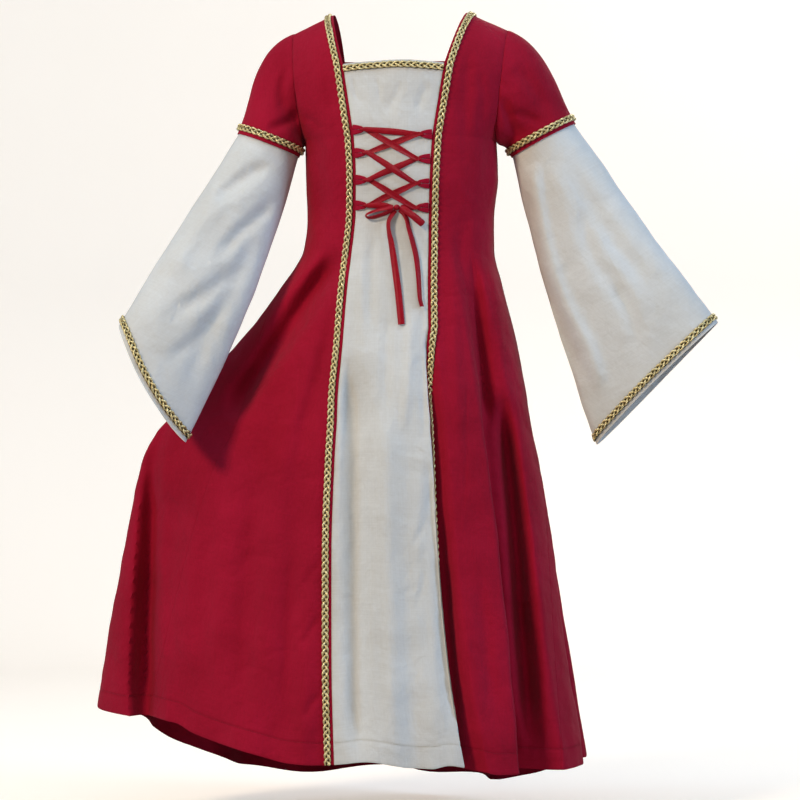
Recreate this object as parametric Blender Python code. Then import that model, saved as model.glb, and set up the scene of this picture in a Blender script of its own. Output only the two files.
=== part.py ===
"""A child's medieval dress, hanging as if worn, with the sleeves held out and one side of the skirt lifted.

Metres, +Z up, the front faces -Y and "left" is -X, the viewer's left from the front.
The origin lies midway between the two shoulder seams, at the height of their neck ends.

The body is one surface. A point on it has an angle and a level. The angle runs round the body from the
left side (0) over the front (90), the right side (180) and the back (270). The level runs from the shoulder
seams (-1) to the underarm (0) and on to the hem (1). Each panel is a grid of such points between its seams,
and what is sewn on a panel is a part of the same grid, moved out.
"""

import math
from collections import namedtuple

import bmesh
import bpy
import numpy as np
from mathutils import Matrix

# Cloth and trimmings
CLOTH = 0.0015  # wall of the linen
GAP = 0.0003  # left at every seam
BRAID_WIDTH = 0.0105
BRAID_THICKNESS = 0.0014
BRAID_MARGIN = 0.0032  # cloth left bare between the braid and its edge
HEM_MARGIN = 0.0045  # and below the braid of a sleeve
MITRE = 1.7  # how far a wall may reach along a sharp seam, in wall thicknesses
ANGLE_STEP = 0.05  # degrees and levels over which slopes are measured
LEVEL_STEP = 0.0005
LIFT_STEP = 0.001  # metres over which directions on the panel are measured
FRONT, BACK = 90.0, 270.0  # the middle of the front and of the back, in degrees
SIDE_SEAMS = {-1: 20.0, 1: 170.0}  # about where the side seams meet the hem

# Shoulders and neck
NECK_HALF = 0.0965
SHOULDER_HALF = 0.156
SHOULDER_FALL = 0.027  # from the neck to the arm
UNDERARM = 0.1865
ROUND = 2.3  # how square the body's sections are: 2 is an ellipse
SHOULDER_ROUNDING = 0.095  # the height over which the chest rolls into the shoulder seam
PANEL_TOP = 0.44  # share of the way down to the underarm where the pale panel starts
PANEL_TOP_HALF = 0.0725
PANEL_UNDERARM_HALF = 0.0560
PANEL_BOW = 0.004
BACK_NECK = 0.32  # share of the way down to the underarm where the back starts
BACK_NECK_HALF = 0.0925
BRAID_SPREAD = 4.0  # how far the back's braid lines spread towards the hem

# Grid
SHOULDER_ROWS = (0, 0.018, 0.072, 0.157, 0.24, 0.62, 0.74, 0.85, 0.93, 0.975, 1)
SKIRT_ROWS = (0.06, 0.12, 0.18, 0.24, 0.31, 0.38, 0.445, 0.50, 0.545, 0.585, 0.65, 0.72, 0.79, 0.86, 0.93, 1)
BEND_WEIGHT = 1.3  # how much more closely columns stand where the cloth bends
FINE_STEPS = 400  # over which a bend is measured
PANEL_CELLS = 12  # across the pale panel
BOW_ROWS = 3  # rows below the pale panel's top over which its bow fades
SHARP = 50.0  # degrees between faces that are shaded as an edge
# Slots: colour, roughness and how metallic
MATERIALS = {
    "red_linen": ((0.26, 0.012, 0.028, 1), 0.85, 0.0),
    "natural_linen": ((0.52, 0.50, 0.43, 1), 0.9, 0.0),
    "gold_braid": ((0.40, 0.30, 0.10, 1), 0.4, 0.6),
    "red_satin": ((0.30, 0.010, 0.020, 1), 0.35, 0.0),
}


class Table:
    """Rows of named columns, read smoothly between rows by the first column."""

    def __init__(self, names, *rows):
        names = names.split()
        self.key = names[0]
        self.columns = dict(zip(names, np.array(rows, float).T))

    def at(self, name, where):
        """One column at these places, without overshoot between rows."""
        key, value = self.columns[self.key], self.columns[name]
        step, rise = np.diff(key), np.diff(value)
        slope = rise / step
        product, total = slope[1:] * slope[:-1], slope[1:] + slope[:-1]
        inner = np.where(product > 0, 2 * product / np.where(total == 0, 1, total), 0)
        tangent = np.concatenate([slope[:1], inner, slope[-1:]])
        where = np.clip(where, key[0], key[-1])
        i = np.clip(np.searchsorted(key, where, side="right") - 1, 0, len(step) - 1)
        t = (where - key[i]) / step[i]
        bend = step[i] * t * (1 - t) * (tangent[i] * (1 - t) - tangent[i + 1] * t)
        return value[i] + rise[i] * t * t * (3 - 2 * t) + bend


# Shoulder to underarm: half the width of the whole section, its front and back depth, and where the armhole cuts it
YOKE = Table(
    "share half front back arm",
    (0.00, 0.176, 0.088, 0.080, 0.156),
    (0.35, 0.171, 0.094, 0.088, 0.151),
    (0.60, 0.163, 0.098, 0.091, 0.147),
    (0.80, 0.153, 0.100, 0.092, 0.143),
    (0.92, 0.145, 0.101, 0.092, 0.140),
    (1.00, 0.139, 0.101, 0.092, 0.139),
)
# Underarm to hem, by the drop below the origin: reach to either side, depth to front and back, how pinched the
# left side is, how far the body turns, the two seams of the pale panel, and how far each side seam swings forward
SECTIONS = Table(
    "drop left right front back pinch turn seam_left seam_right swing_left swing_right",
    (0.1865, 0.139, 0.139, 0.101, 0.092, 2.30, -7.0, -0.0560, 0.0560, 0, 0),
    (0.2385, 0.138, 0.141, 0.102, 0.092, 2.30, -7.0, -0.0530, 0.0530, 0, 0),
    (0.2975, 0.136, 0.135, 0.098, 0.090, 2.25, -7.0, -0.0540, 0.0510, 2, 0),
    (0.3405, 0.141, 0.135, 0.101, 0.094, 2.15, -6.5, -0.0590, 0.0500, 5, 0),
    (0.3985, 0.177, 0.148, 0.112, 0.108, 1.85, -4.8, -0.0680, 0.0470, 12, 0),
    (0.4855, 0.245, 0.170, 0.132, 0.132, 1.60, -2.5, -0.0780, 0.0445, 27, 2),
    (0.5525, 0.303, 0.183, 0.146, 0.150, 1.50, -1.0, -0.0870, 0.0425, 36, 4),
    (0.6025, 0.352, 0.191, 0.155, 0.162, 1.46, 0.0, -0.0915, 0.0425, 40, 7),
    (0.6445, 0.373, 0.201, 0.163, 0.172, 1.48, 0.0, -0.0940, 0.0465, 38, 11),
    (0.7755, 0.400, 0.223, 0.185, 0.198, 1.58, 0.0, -0.0980, 0.0558, 34, 24),
    (0.9205, 0.427, 0.244, 0.210, 0.224, 1.70, 0.0, -0.0975, 0.0699, 32, 31),
    (1.0750, 0.454, 0.269, 0.236, 0.248, 1.80, 0.0, -0.0930, 0.0985, 33, 36),
)
HEM = Table(
    "angle drop",
    *((0, 1.003), (28, 1.008), (40, 1.013), (46, 1.025), (54, 1.038), (61, 1.047), (69, 1.059), (76, 1.061)),
    *((84, 1.055), (92, 1.063), (99, 1.064), (104, 1.060), (109, 1.063), (120, 1.075), (139, 1.077), (180, 1.078)),
    *((198, 1.088), (214, 1.112), (234, 1.131), (250, 1.130), (270, 1.120), (290, 1.122), (303, 1.114)),
    *((311, 1.098), (320, 1.075), (330, 1.045), (342, 1.018), (360, 1.003)),
)

# A fold is a valley between two ridges: its angle at its start and at the hem, half its width in degrees, its
# depth at the hem, the drop where it starts, how fast it deepens, its lean to the side as a share of its depth, and
# how late it moves from the one angle to the other
Fold = namedtuple("Fold", "name top hem half depth start power lean late")
FOLDS = (
    Fold("lifted_side", 5, 36, 7, 0.036, 0.58, 0.7, -0.90, 1),
    Fold("lifted_side_broad", 15, 46, 16, 0.020, 0.58, 0.8, -0.30, 1),
    Fold("left_soft_outer", 52, 55, 9, 0.007, 0.40, 0.8, 0, 1),
    Fold("left_soft_inner", 66, 66, 6, 0.007, 0.45, 0.8, 0, 1),
    Fold("left_seam", 74, 77, 5, 0.009, 0.36, 0.9, 0, 1),
    Fold("pale_middle", 94, 94, 7, 0.007, 0.55, 1.0, 0, 1),
    Fold("pale_edge", 105.6, 112.6, 3.6, 0.050, 0.46, 0.7, -0.42, 3),
    Fold("right_deep", 133.5, 135.5, 10, 0.076, 0.29, 1.0, -0.10, 1),
    Fold("right_side", 178, 172, 11, 0.032, 0.45, 1.2, 0.10, 1),
    Fold("back_right_outer", 208, 206, 13, 0.050, 0.34, 1.0, 0.10, 1),
    Fold("back_right_inner", 236, 233, 13, 0.060, 0.36, 1.1, -0.10, 1),
    Fold("back_middle", 262, 261, 13, 0.046, 0.42, 1.2, 0.05, 1),
    Fold("back_left_inner", 287, 288, 13, 0.056, 0.36, 1.0, 0.10, 1),
    Fold("back_left_outer", 314, 313, 12, 0.048, 0.40, 1.1, -0.10, 1),
    Fold("back_left_side", 338, 337, 11, 0.036, 0.50, 1.0, 0.10, 1),
)
FOLD_BOTTOM = 1.075

# Sleeves: the outer and inner point of the red sleeve's hem and of the bell's cuff, half the depth from front to
# back at both, how far the bell's outer and inner edge bulge, and how far the cuff's edge bows and trails behind
Sleeve = namedtuple(
    "Sleeve",
    "side word hem_outer hem_inner cuff_outer cuff_inner hem_half cuff_half bulge_outer bulge_inner bow trail",
)
SLEEVES = (
    Sleeve(
        *(-1, "left", (-0.2370, -0.004, -0.1745), (-0.1470, -0.004, -0.2090)),
        *((-0.3970, -0.110, -0.4540), (-0.3000, -0.150, -0.6190), 0.047, 0.062, 0.001, 0.013, 0.015, 0.004),
    ),
    Sleeve(
        *(1, "right", (0.2527, -0.004, -0.1600), (0.1600, -0.004, -0.2090)),
        *((0.4480, -0.105, -0.4500), (0.2780, -0.085, -0.6230), 0.048, 0.044, -0.003, 0.008, -0.002, 0.006),
    ),
)
CAP_REACH = 0.42  # how far the sleeve's head runs on along the shoulder before it turns down
CAP_FALL = 0.40  # and how steeply it falls there
BAND_REACH = 0.3  # how far it runs straight into its band
CAP_RINGS = 6
NARROWING = 0.45  # the cuff narrows towards its hanging point
NARROW_TIP = 0.9
TUCK = 0.006  # of the bell inside the red sleeve's hem
BELL_START = 0.001
BELL_RINGS = 8
BELL_PLAIN = 0.88  # share of the bell above the rows at its cuff
NEAR_CUFF = 0.98  # and near enough to it to measure slopes

# Lacing: each cloth loop stands out from the pale panel's seam at this drop
LOOPS = (
    ("loop_left_1", -1, 0.1766),
    ("loop_left_2", -1, 0.2098),
    ("loop_left_3", -1, 0.2480),
    ("loop_left_4", -1, 0.2840),
    ("loop_right_1", 1, 0.1843),
    ("loop_right_2", 1, 0.2190),
    ("loop_right_3", 1, 0.2536),
    ("loop_right_4", 1, 0.2875),
)
LOOP_THICKNESS = 0.0012
# One strand of a loop, from the seam to its end: reach, distance from the loop's middle, width and lift
STRAND = Table(
    "reach off width lift",
    (0.0006, 0.0036, 0.0064, 0.0012),
    (0.0050, 0.0034, 0.0056, 0.0021),
    (0.0090, 0.0032, 0.0036, 0.0028),
    (0.0120, 0.0031, 0.0026, 0.0030),
    (0.0145, 0.0022, 0.0024, 0.0030),
    (0.0155, 0.0000, 0.0024, 0.0030),
)
RIBBON_WIDTH = 0.008
RIBBON_THICKNESS = 0.0008
# The ribbon's turn through a loop's eye, from the front to behind it: reach, lift, width and thickness
EYE_TURN = (
    (0.0200, 0.0046, 0.0058, 0.0009),
    (0.0165, 0.0047, 0.0040, 0.0010),
    (0.0135, 0.0046, 0.0030, 0.0011),
    (0.0121, 0.0038, 0.0028, 0.0011),
    (0.0118, 0.0028, 0.0028, 0.0011),
    (0.0121, 0.0018, 0.0028, 0.0010),
    (0.0135, 0.0013, 0.0030, 0.0008),
    (0.0165, 0.0013, 0.0040, 0.0008),
    (0.0200, 0.0014, 0.0058, 0.0008),
)
# The order in which the ribbon passes the loops, and how high it rides over the panel on its way to each
ROUTE = (
    ("loop_left_4", 0.0030),
    ("loop_right_3", 0.0024),
    ("loop_left_2", 0.0050),
    ("loop_right_1", 0.0024),
    ("loop_left_1", 0.0030),
    ("loop_right_2", 0.0050),
    ("loop_left_3", 0.0024),
    ("loop_right_4", 0.0050),
)
LAST_RIDE = 0.0024  # and on its way back to the knot
STRETCH = (0.16, 0.38, 0.62, 0.84)  # shares of the way between two loops where the ribbon has points
STRETCH_RISE = 2.6  # how soon it reaches its full width and height there
KNOT = (0.0065, 0.2872, 0.0046)  # across, drop and lift of the bow's knot
KNOT_SIZE = (0.0050, 0.0038, 0.0042)
# Where the lacing runs into the knot: drop, lift, width and thickness
LACING_END = (0.2862, 0.0028, 0.0040, 0.0011)
# Hanging ends and bow loops: across, drop, lift, width, and the turn of the ribbon about its own line
TAIL_LEFT = (
    *((0.0047, 0.2916, 0.0035, 0.0046, 0), (0.0010, 0.2960, 0.0038, 0.0056, 15)),
    *((-0.0035, 0.3040, 0.0048, 0.0066, 35), (-0.0055, 0.3125, 0.0052, 0.0070, 42)),
    *((-0.0045, 0.3250, 0.0048, 0.0072, 38), (-0.0020, 0.3377, 0.0042, 0.0076, 25)),
    *((0.0009, 0.3604, 0.0034, 0.0078, 10), (0.0037, 0.3900, 0.0032, 0.0080, 4)),
    *((0.0051, 0.4042, 0.0030, 0.0080, 0), (0.0067, 0.4300, 0.0028, 0.0080, 0)),
    *((0.0080, 0.4537, 0.0028, 0.0080, 0),),
)
TAIL_RIGHT = (
    *((0.0098, 0.2911, 0.0034, 0.0044, 0), (0.0160, 0.2960, 0.0036, 0.0054, -20)),
    *((0.0205, 0.3050, 0.0046, 0.0064, -38), (0.0229, 0.3165, 0.0050, 0.0070, -42)),
    *((0.0279, 0.3363, 0.0048, 0.0074, -35), (0.0322, 0.3575, 0.0046, 0.0076, -32)),
    *((0.0340, 0.3800, 0.0048, 0.0076, -36), (0.0345, 0.4010, 0.0050, 0.0074, -40)),
    *((0.0350, 0.4184, 0.0050, 0.0072, -42), (0.0372, 0.4300, 0.0050, 0.0070, -42)),
)
BOW_LEFT = (
    *((0.0015, 0.2877, 0.0066, 0.0044, 20), (-0.0080, 0.2892, 0.0074, 0.0064, 40)),
    *((-0.0190, 0.2915, 0.0074, 0.0068, 52), (-0.0310, 0.2950, 0.0072, 0.0070, 62)),
    *((-0.0362, 0.2985, 0.0070, 0.0070, 66), (-0.0330, 0.3020, 0.0068, 0.0070, 66)),
    *((-0.0230, 0.3012, 0.0066, 0.0068, 60), (-0.0110, 0.2975, 0.0066, 0.0060, 50)),
    *((0.0022, 0.2904, 0.0060, 0.0036, 20),),
)
BOW_RIGHT = (
    *((0.0115, 0.2869, 0.0068, 0.0052, 0), (0.0190, 0.2912, 0.0086, 0.0076, 0)),
    *((0.0290, 0.2998, 0.0096, 0.0080, 0), (0.0385, 0.3083, 0.0090, 0.0080, 0)),
    *((0.0420, 0.3115, 0.0074, 0.0080, 0), (0.0390, 0.3088, 0.0058, 0.0080, 0)),
    *((0.0290, 0.2998, 0.0054, 0.0080, 0), (0.0190, 0.2912, 0.0052, 0.0072, 0)),
    *((0.0123, 0.2868, 0.0050, 0.0050, 0),),
)


def unit(v):
    return v / np.maximum(np.linalg.norm(v, axis=-1, keepdims=True), 1e-12)


def shoulder_line(x):
    """Height of the shoulder seam, level across the neck."""
    beyond = np.clip(np.abs(x) - NECK_HALF, 0, None)
    return -beyond * SHOULDER_FALL / (SHOULDER_HALF - NECK_HALF)


def section(angle, left, right, front, back, pinch):
    """A level outline of the body, squarer than an ellipse on the right and pinched on the left."""
    across, along = np.cos(np.radians(angle)), np.sin(np.radians(angle))
    power = np.where(across > 0, pinch, ROUND)
    reach = (np.abs(across) ** power + np.abs(along) ** power) ** (-1 / power)
    x = -np.where(across > 0, left, right) * reach * across
    y = -np.where(along > 0, front, back) * reach * along
    return x, y


def fold_shift(angle, drop):
    """How far the folds move the cloth inwards and round the body."""
    inward, round_body = np.zeros_like(angle + drop), np.zeros_like(angle + drop)
    for fold in FOLDS:
        share = np.clip((drop - fold.start) / (FOLD_BOTTOM - fold.start), 0, 1.05)
        centre = fold.top + (fold.hem - fold.top) * share**fold.late
        off = (angle - centre + 180) % 360 - 180
        shape = np.where(np.abs(off) < fold.half, np.cos(off / fold.half * math.pi / 2) ** 2, 0)
        depth = fold.depth * share**fold.power * shape
        inward += depth
        round_body += fold.lean * depth
    return inward, round_body


def yoke_point(angle, share):
    """The body from the shoulder seams (share 0) to the underarm (share 1)."""
    half = YOKE.at("half", share)
    x, y = section(angle, half, half, YOKE.at("front", share), YOKE.at("back", share), ROUND)
    top = shoulder_line(x)
    z = top - (top + UNDERARM) * share
    below = np.clip((top - z) / SHOULDER_ROUNDING, 0, 1)
    return x, y * np.sqrt(1 - (1 - below) ** 2), z


def drop_at(angle, level):
    """How far below the origin a level lies, below the underarm."""
    return UNDERARM + (HEM.at("drop", angle % 360) - UNDERARM) * np.clip(level, 0, None)


def skirt_point(angle, level):
    """The body from the underarm to the hem."""
    drop = drop_at(angle, level)
    sizes = [SECTIONS.at(name, drop) for name in ("left", "right", "front", "back", "pinch")]
    x, y = section(angle, *sizes)
    ahead_x, ahead_y = section(angle + ANGLE_STEP, *sizes)
    behind_x, behind_y = section(angle - ANGLE_STEP, *sizes)
    along = unit(np.stack([ahead_x - behind_x, ahead_y - behind_y], -1))
    inward, round_body = fold_shift(angle, drop)
    x = x - inward * along[..., 1] + round_body * along[..., 0]
    y = y + inward * along[..., 0] + round_body * along[..., 1]
    return x, y, -drop


def body(angle, level):
    """Points of the cloth's outer face."""
    angle, level = np.broadcast_arrays(np.asarray(angle, float), np.asarray(level, float))
    high = yoke_point(angle, np.clip(1 + level, 0, 1))
    low = skirt_point(angle, level)
    x, y, z = (np.where(level < 0, a, b) for a, b in zip(high, low))
    turn = np.radians(SECTIONS.at("turn", -z))
    return np.stack([x * np.cos(turn) - y * np.sin(turn), x * np.sin(turn) + y * np.cos(turn), z], -1)


def body_normal(angle, level):
    """The outward direction of the body's surface."""
    level = np.asarray(level, float)
    down = body(angle, level + LEVEL_STEP) - body(angle, np.maximum(level - LEVEL_STEP, -1))
    along = body(angle + ANGLE_STEP, level) - body(angle - ANGLE_STEP, level)
    return unit(np.cross(down, along))


def from_side(x, half, power):
    """Degrees from a side's outermost point to where the section reaches this distance from the middle plane."""
    share = np.clip(np.abs(x) / half, 1e-6, 1)
    return np.degrees(np.arctan((share**-power - 1) ** (1 / power)))


def front_angle(x, level):
    """The angle at which the front of the body reaches x, before the body's turn and folds."""
    half = YOKE.at("half", np.clip(1 + level, 0, 1))
    drop = drop_at(np.full_like(level, FRONT), level)
    left = from_side(x, np.where(level < 0, half, SECTIONS.at("left", drop)), SECTIONS.at("pinch", drop))
    right = from_side(x, np.where(level < 0, half, SECTIONS.at("right", drop)), ROUND)
    return np.where(x < 0, left, 180 - right)


def seam_line(side):
    """The neck edge and, below it, the pale panel's seam, as a function of the level."""

    def line(level):
        share = 1 + level
        neck = NECK_HALF + (PANEL_TOP_HALF - NECK_HALF) * share / PANEL_TOP
        below = (share - PANEL_TOP) / (1 - PANEL_TOP)
        panel = PANEL_TOP_HALF + (PANEL_UNDERARM_HALF - PANEL_TOP_HALF) * below
        drop = drop_at(np.full_like(level, FRONT), level)
        low = SECTIONS.at("seam_left" if side < 0 else "seam_right", drop)
        return front_angle(np.where(level < 0, side * np.where(share < PANEL_TOP, neck, panel), low), level)

    return line


def side_line(side, back=False):
    """The armhole's edge and, below it, the side seam."""

    def line(level):
        share = np.clip(1 + level, 0, 1)
        cut = from_side(YOKE.at("arm", share), YOKE.at("half", share), ROUND) * (-1 if back else 1)
        drop = drop_at(np.full_like(level, SIDE_SEAMS[side]), level)
        angle = np.where(level < 0, cut, SECTIONS.at("swing_left" if side < 0 else "swing_right", drop))
        return angle + (360 if back else 0) if side < 0 else 180 - angle

    return line


def back_line(side, metres):
    """A line down the back from the neck's edge, this far outside it, that spreads towards the hem."""

    def line(level):
        share = np.clip(1 + level, 0, 1)
        x = NECK_HALF + (BACK_NECK_HALF - NECK_HALF) * np.minimum(share / BACK_NECK, 1)
        drop = drop_at(np.full_like(level, BACK), level)
        reach = SECTIONS.at("left" if side < 0 else "right", drop) / SECTIONS.at("left", UNDERARM)
        angle = 360 - front_angle(side * x * np.where(level < 0, 1, reach), level)
        spread = metres * (1 + BRAID_SPREAD * np.clip(level, 0, 1))
        return angle - side * spread / speed(angle, level)

    return line


def speed(angle, level):
    """Metres of cloth for each degree round the body."""
    return np.linalg.norm(body(angle + ANGLE_STEP, level) - body(angle - ANGLE_STEP, level), axis=-1) / 2 / ANGLE_STEP


def beside(line, metres):
    """A line this far along the cloth from another."""
    return lambda level: line(level) + metres / speed(line(level), level)


def even_shares(start, end, count):
    """Shares of the way between two angles at the hem, closer together where the cloth bends."""
    fine = np.linspace(start, end, FINE_STEPS)
    step = np.diff(body(fine, 1.0), axis=0)
    length = np.linalg.norm(step, axis=1)
    bend = np.abs(np.gradient(np.unwrap(np.arctan2(step[:, 1], step[:, 0])))) + 1e-9
    effort = np.cumsum(length / length.sum() + BEND_WEIGHT * bend / bend.sum())
    effort = np.concatenate([[0], effort])
    return np.interp(np.linspace(0, effort[-1], count + 1), effort, np.linspace(0, 1, FINE_STEPS))


def levels():
    """The rows that all panels share, from the shoulder seams to the hem."""
    margin, braid = BRAID_MARGIN / UNDERARM, BRAID_WIDTH / UNDERARM
    necks = (BACK_NECK, BACK_NECK + margin, BACK_NECK + margin + braid, PANEL_TOP, PANEL_TOP + braid)
    return np.concatenate([np.sort(SHOULDER_ROWS + necks) - 1, SKIRT_ROWS])


def row_of(share):
    """The row at this share of the way from the shoulder seams to the underarm."""
    return int(np.argmin(np.abs(levels() + 1 - share)))


class Grid:
    """Points of the cloth's outer face and the directions in which it is thick, by row and column."""

    def __init__(self, points, directions):
        self.points = points
        self.directions = directions

    def lifted(self, metres):
        return self.points + self.directions * metres

    def part(self, rows, columns):
        return Grid(self.points[rows, columns], self.directions[rows, columns])


def panel_grid(lines, cells, level):
    """The grid between lines, with this many cells between each line and the next."""
    at = [line(level) for line in lines]
    angle = [at[0]]
    for start, end, count in zip(at, at[1:], cells):
        angle += [start + (end - start) * share for share in even_shares(start[-1], end[-1], count)[1:]]
    angle = np.stack(angle, axis=1)
    level = np.repeat(level[:, None], angle.shape[1], 1)
    return angle, level


def wall(name, outer, inner, material, keep=None, closed=False):
    """A closed wall between two grids of points; a closed one joins its last column to its first."""
    rows, columns = outer.shape[:2]
    mesh = bmesh.new()
    skins = [[[mesh.verts.new(point) for point in row] for row in grid] for grid in (outer, inner)]
    order = {v: (i, v.co.x) for i, row in enumerate(skins[0]) for v in row}
    under = {a: b for out, into in zip(*skins) for a, b in zip(out, into)}
    rim = {}
    for i in range(rows - 1):
        for j in range(columns if closed else columns - 1):
            if keep is not None and not keep[i, j]:
                continue
            k = (j + 1) % columns
            a, b, c, d = skins[0][i][j], skins[0][i + 1][j], skins[0][i + 1][k], skins[0][i][k]
            for corners in ((a, b, c), (a, c, d)):
                mesh.faces.new(corners)
                mesh.faces.new([under[v] for v in reversed(corners)])
            for edge in ((a, b), (b, c), (c, d), (d, a)):
                if edge[::-1] in rim:
                    del rim[edge[::-1]]
                else:
                    rim[edge] = True
    for a, b in rim:
        first, last = (a, b) if order[a] < order[b] else (b, a)
        mesh.faces.new((last, first, under[first]) if last is b else (first, last, under[first]))
        mesh.faces.new((last, under[first], under[last]) if last is b else (last, under[last], under[first]))
    bmesh.ops.delete(mesh, geom=[v for v in mesh.verts if not v.link_faces], context="VERTS")
    bmesh.ops.recalc_face_normals(mesh, faces=mesh.faces)
    return add(name, mesh, material)


def add(name, mesh, material):
    """A finished mesh as an object of the dress."""
    data = bpy.data.meshes.new(name)
    mesh.to_mesh(data)
    mesh.free()
    data.materials.append(material)
    data.shade_smooth()
    data.set_sharp_from_angle(angle=math.radians(SHARP))
    made = bpy.data.objects.new(name, data)
    bpy.data.collections["medieval_dress"].objects.link(made)
    return made


def material(name, colour, roughness, metallic):
    made = bpy.data.materials.new(name)
    made.use_nodes = True
    shader = made.node_tree.nodes["Principled BSDF"]
    shader.inputs["Base Color"].default_value = colour
    shader.inputs["Roughness"].default_value = roughness
    shader.inputs["Metallic"].default_value = metallic
    return made


def cloth(name, grid, material, keep=None, closed=False):
    wall(name, grid.points, grid.lifted(-CLOTH), material, keep, closed)


def braid(name, grid, material, keep=None, closed=False):
    """Braid sewn on over a part of a panel's grid."""
    wall(name, grid.lifted(GAP + BRAID_THICKNESS), grid.lifted(GAP), material, keep, closed)


def armhole(side):
    """The armhole's points and normals, from the shoulder down the front and up the back."""
    down = levels()[levels() <= 1e-9]
    up = down[-2:0:-1]
    angle = np.concatenate([side_line(side)(down), side_line(side, True)(up)])
    level = np.concatenate([down, up])
    return body(angle, level), body_normal(angle, level)


def turns_round(points):
    """Turns round a sleeve for the armhole's points: none at the shoulder, half at the underarm."""
    half = len(points) // 2
    step = np.linalg.norm(np.roll(points, -1, 0) - points, axis=1)
    front, back = np.cumsum(step[:half]), np.cumsum(step[half:])
    turns = np.concatenate([[0], front / front[-1], 1 + back[:-1] / back[-1]])
    return turns * math.pi


class SleeveForm:
    """A set-in sleeve that ends in a straight band, and the bell that hangs from inside it."""

    def __init__(self, cut):
        self.cut = cut
        self.hem = [np.array(cut.hem_outer), np.array(cut.hem_inner)]
        self.cuff = [np.array(cut.cuff_outer), np.array(cut.cuff_inner)]
        self.across = unit(self.hem[0] - self.hem[1])
        self.arm = unit(np.cross((0, cut.side, 0), self.across))
        self.seam, self.body_normals = armhole(cut.side)
        self.turns = turns_round(self.seam)

    def ring(self, shrink, along):
        """A ring round the arm at the hem, drawn in and moved along the arm."""
        centre = (self.hem[0] + self.hem[1]) / 2 + self.arm * along
        long = np.linalg.norm(self.hem[0] - self.hem[1]) / 2 - shrink
        deep = (self.cut.hem_half - shrink) * np.array((0, 1, 0))
        return centre + np.cos(self.turns)[:, None] * self.across * long - np.sin(self.turns)[:, None] * deep

    def red_grid(self):
        """The red sleeve, whose wall shares its direction with the body's at the armhole."""
        band = HEM_MARGIN + BRAID_WIDTH
        end = self.ring(0, -band - GAP)
        top = (1 + np.cos(self.turns))[:, None] / 2
        outward = unit(np.array((self.cut.side, 0, -CAP_FALL)))
        pull = unit(outward * top + self.arm * (1 - top))
        start = self.seam
        span = np.linalg.norm(end - start, axis=1)[:, None]
        controls = start, start + pull * span * CAP_REACH, end - self.arm * span * BAND_REACH, end
        share = np.linspace(0, 1, CAP_RINGS)[:, None, None]
        weights = (1 - share) ** 3, 3 * share * (1 - share) ** 2, 3 * share**2 * (1 - share), share**3
        rings = sum(weight * control for weight, control in zip(weights, controls))
        rings = np.concatenate([rings, [self.ring(0, -HEM_MARGIN), self.ring(0, 0)]])
        directions = ring_normals(rings)
        mean = unit(directions[0] + self.body_normals)
        directions[0] = mean / np.maximum((mean * self.body_normals).sum(1, keepdims=True), 1 / MITRE)
        apart = unit(np.cross(np.roll(start, -1, 0) - np.roll(start, 1, 0), directions[0]))
        rings[0] += apart * np.sign((apart * pull).sum()) * GAP
        for row in (-3, -2, -1):
            directions[row] = ring_normals(np.stack([self.ring(0, -band), self.ring(0, 0)]))[0]
        return Grid(rings, directions)

    def bell_ring(self, share):
        """The bell from the red sleeve's hem (share 0) to the cuff (share 1)."""
        s = np.broadcast_to(share, self.turns.shape)[:, None]
        shrink = CLOTH + GAP
        bulge = self.across * np.sin(math.pi * s)
        outer = (self.hem[0] - self.across * shrink) * (1 - s) + self.cuff[0] * s + bulge * self.cut.bulge_outer
        inner = (self.hem[1] + self.across * shrink) * (1 - s) + self.cuff[1] * s - bulge * self.cut.bulge_inner
        half = (self.cut.hem_half - shrink) * (1 - s) + self.cut.cuff_half * s
        cos, sin = np.cos(self.turns)[:, None], np.sin(self.turns)[:, None]
        half = half * (1 - NARROWING * s / 2 + NARROWING * s * cos * NARROW_TIP)
        fall = unit(self.cuff[0] + self.cuff[1] - self.hem[0] - self.hem[1])
        edge = fall * s**3 * (self.cut.bow * sin**2 - self.cut.trail * sin)
        start = self.arm * BELL_START * (1 - s)
        return (outer + inner) / 2 + (outer - inner) / 2 * cos - half * sin * np.array((0, 1, 0)) + edge + start

    def bell_grid(self):
        """The bell, with rows for the braid along its cuff."""
        cuff, before = self.bell_ring(1.0), self.bell_ring(NEAR_CUFF)
        fall = unit(cuff - before)
        along = unit(np.roll(cuff, -1, 0) - np.roll(cuff, 1, 0))
        slant = np.linalg.norm(np.cross(fall, along), axis=1)
        length = np.linalg.norm(cuff - self.bell_ring(0.0), axis=1)
        braid = [1 - metres / slant / length for metres in (HEM_MARGIN + BRAID_WIDTH, HEM_MARGIN, 0)]
        shares = [np.full(len(slant), s) for s in np.linspace(0, BELL_PLAIN, BELL_RINGS)] + braid
        rings = [self.ring(CLOTH + GAP, -TUCK)] + [self.bell_ring(share) for share in shares]
        return Grid(np.array(rings), ring_normals(np.array(rings)))


def ring_normals(rings):
    """Outward directions of closed rings."""
    along = np.roll(rings, -1, 1) - np.roll(rings, 1, 1)
    normals = unit(np.cross(along, np.gradient(rings, axis=0)))
    outward = (normals * (rings - rings.mean(axis=1, keepdims=True))).sum(axis=(1, 2))
    return normals * np.sign(outward)[:, None, None]


def body_grid(lines, cells, level, sleeves=()):
    """A body panel; sleeves gives its armhole columns, as (column, sleeve form, whether at the back)."""
    angle, level = panel_grid(lines, cells, level)
    grid = Grid(body(angle, level), body_normal(angle, level))
    for column, form, back in sleeves:
        shared = form.red_grid().directions[0]
        rows = len(shared) // 2 + 1
        grid.directions[:rows, column] = np.roll(shared[::-1], 1, 0)[:rows] if back else shared[:rows]
    if level[0, 0] == -1:
        grid.points[0, :, 1] += math.copysign(GAP / 2, angle[0].mean() - 180)
    return grid


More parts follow.
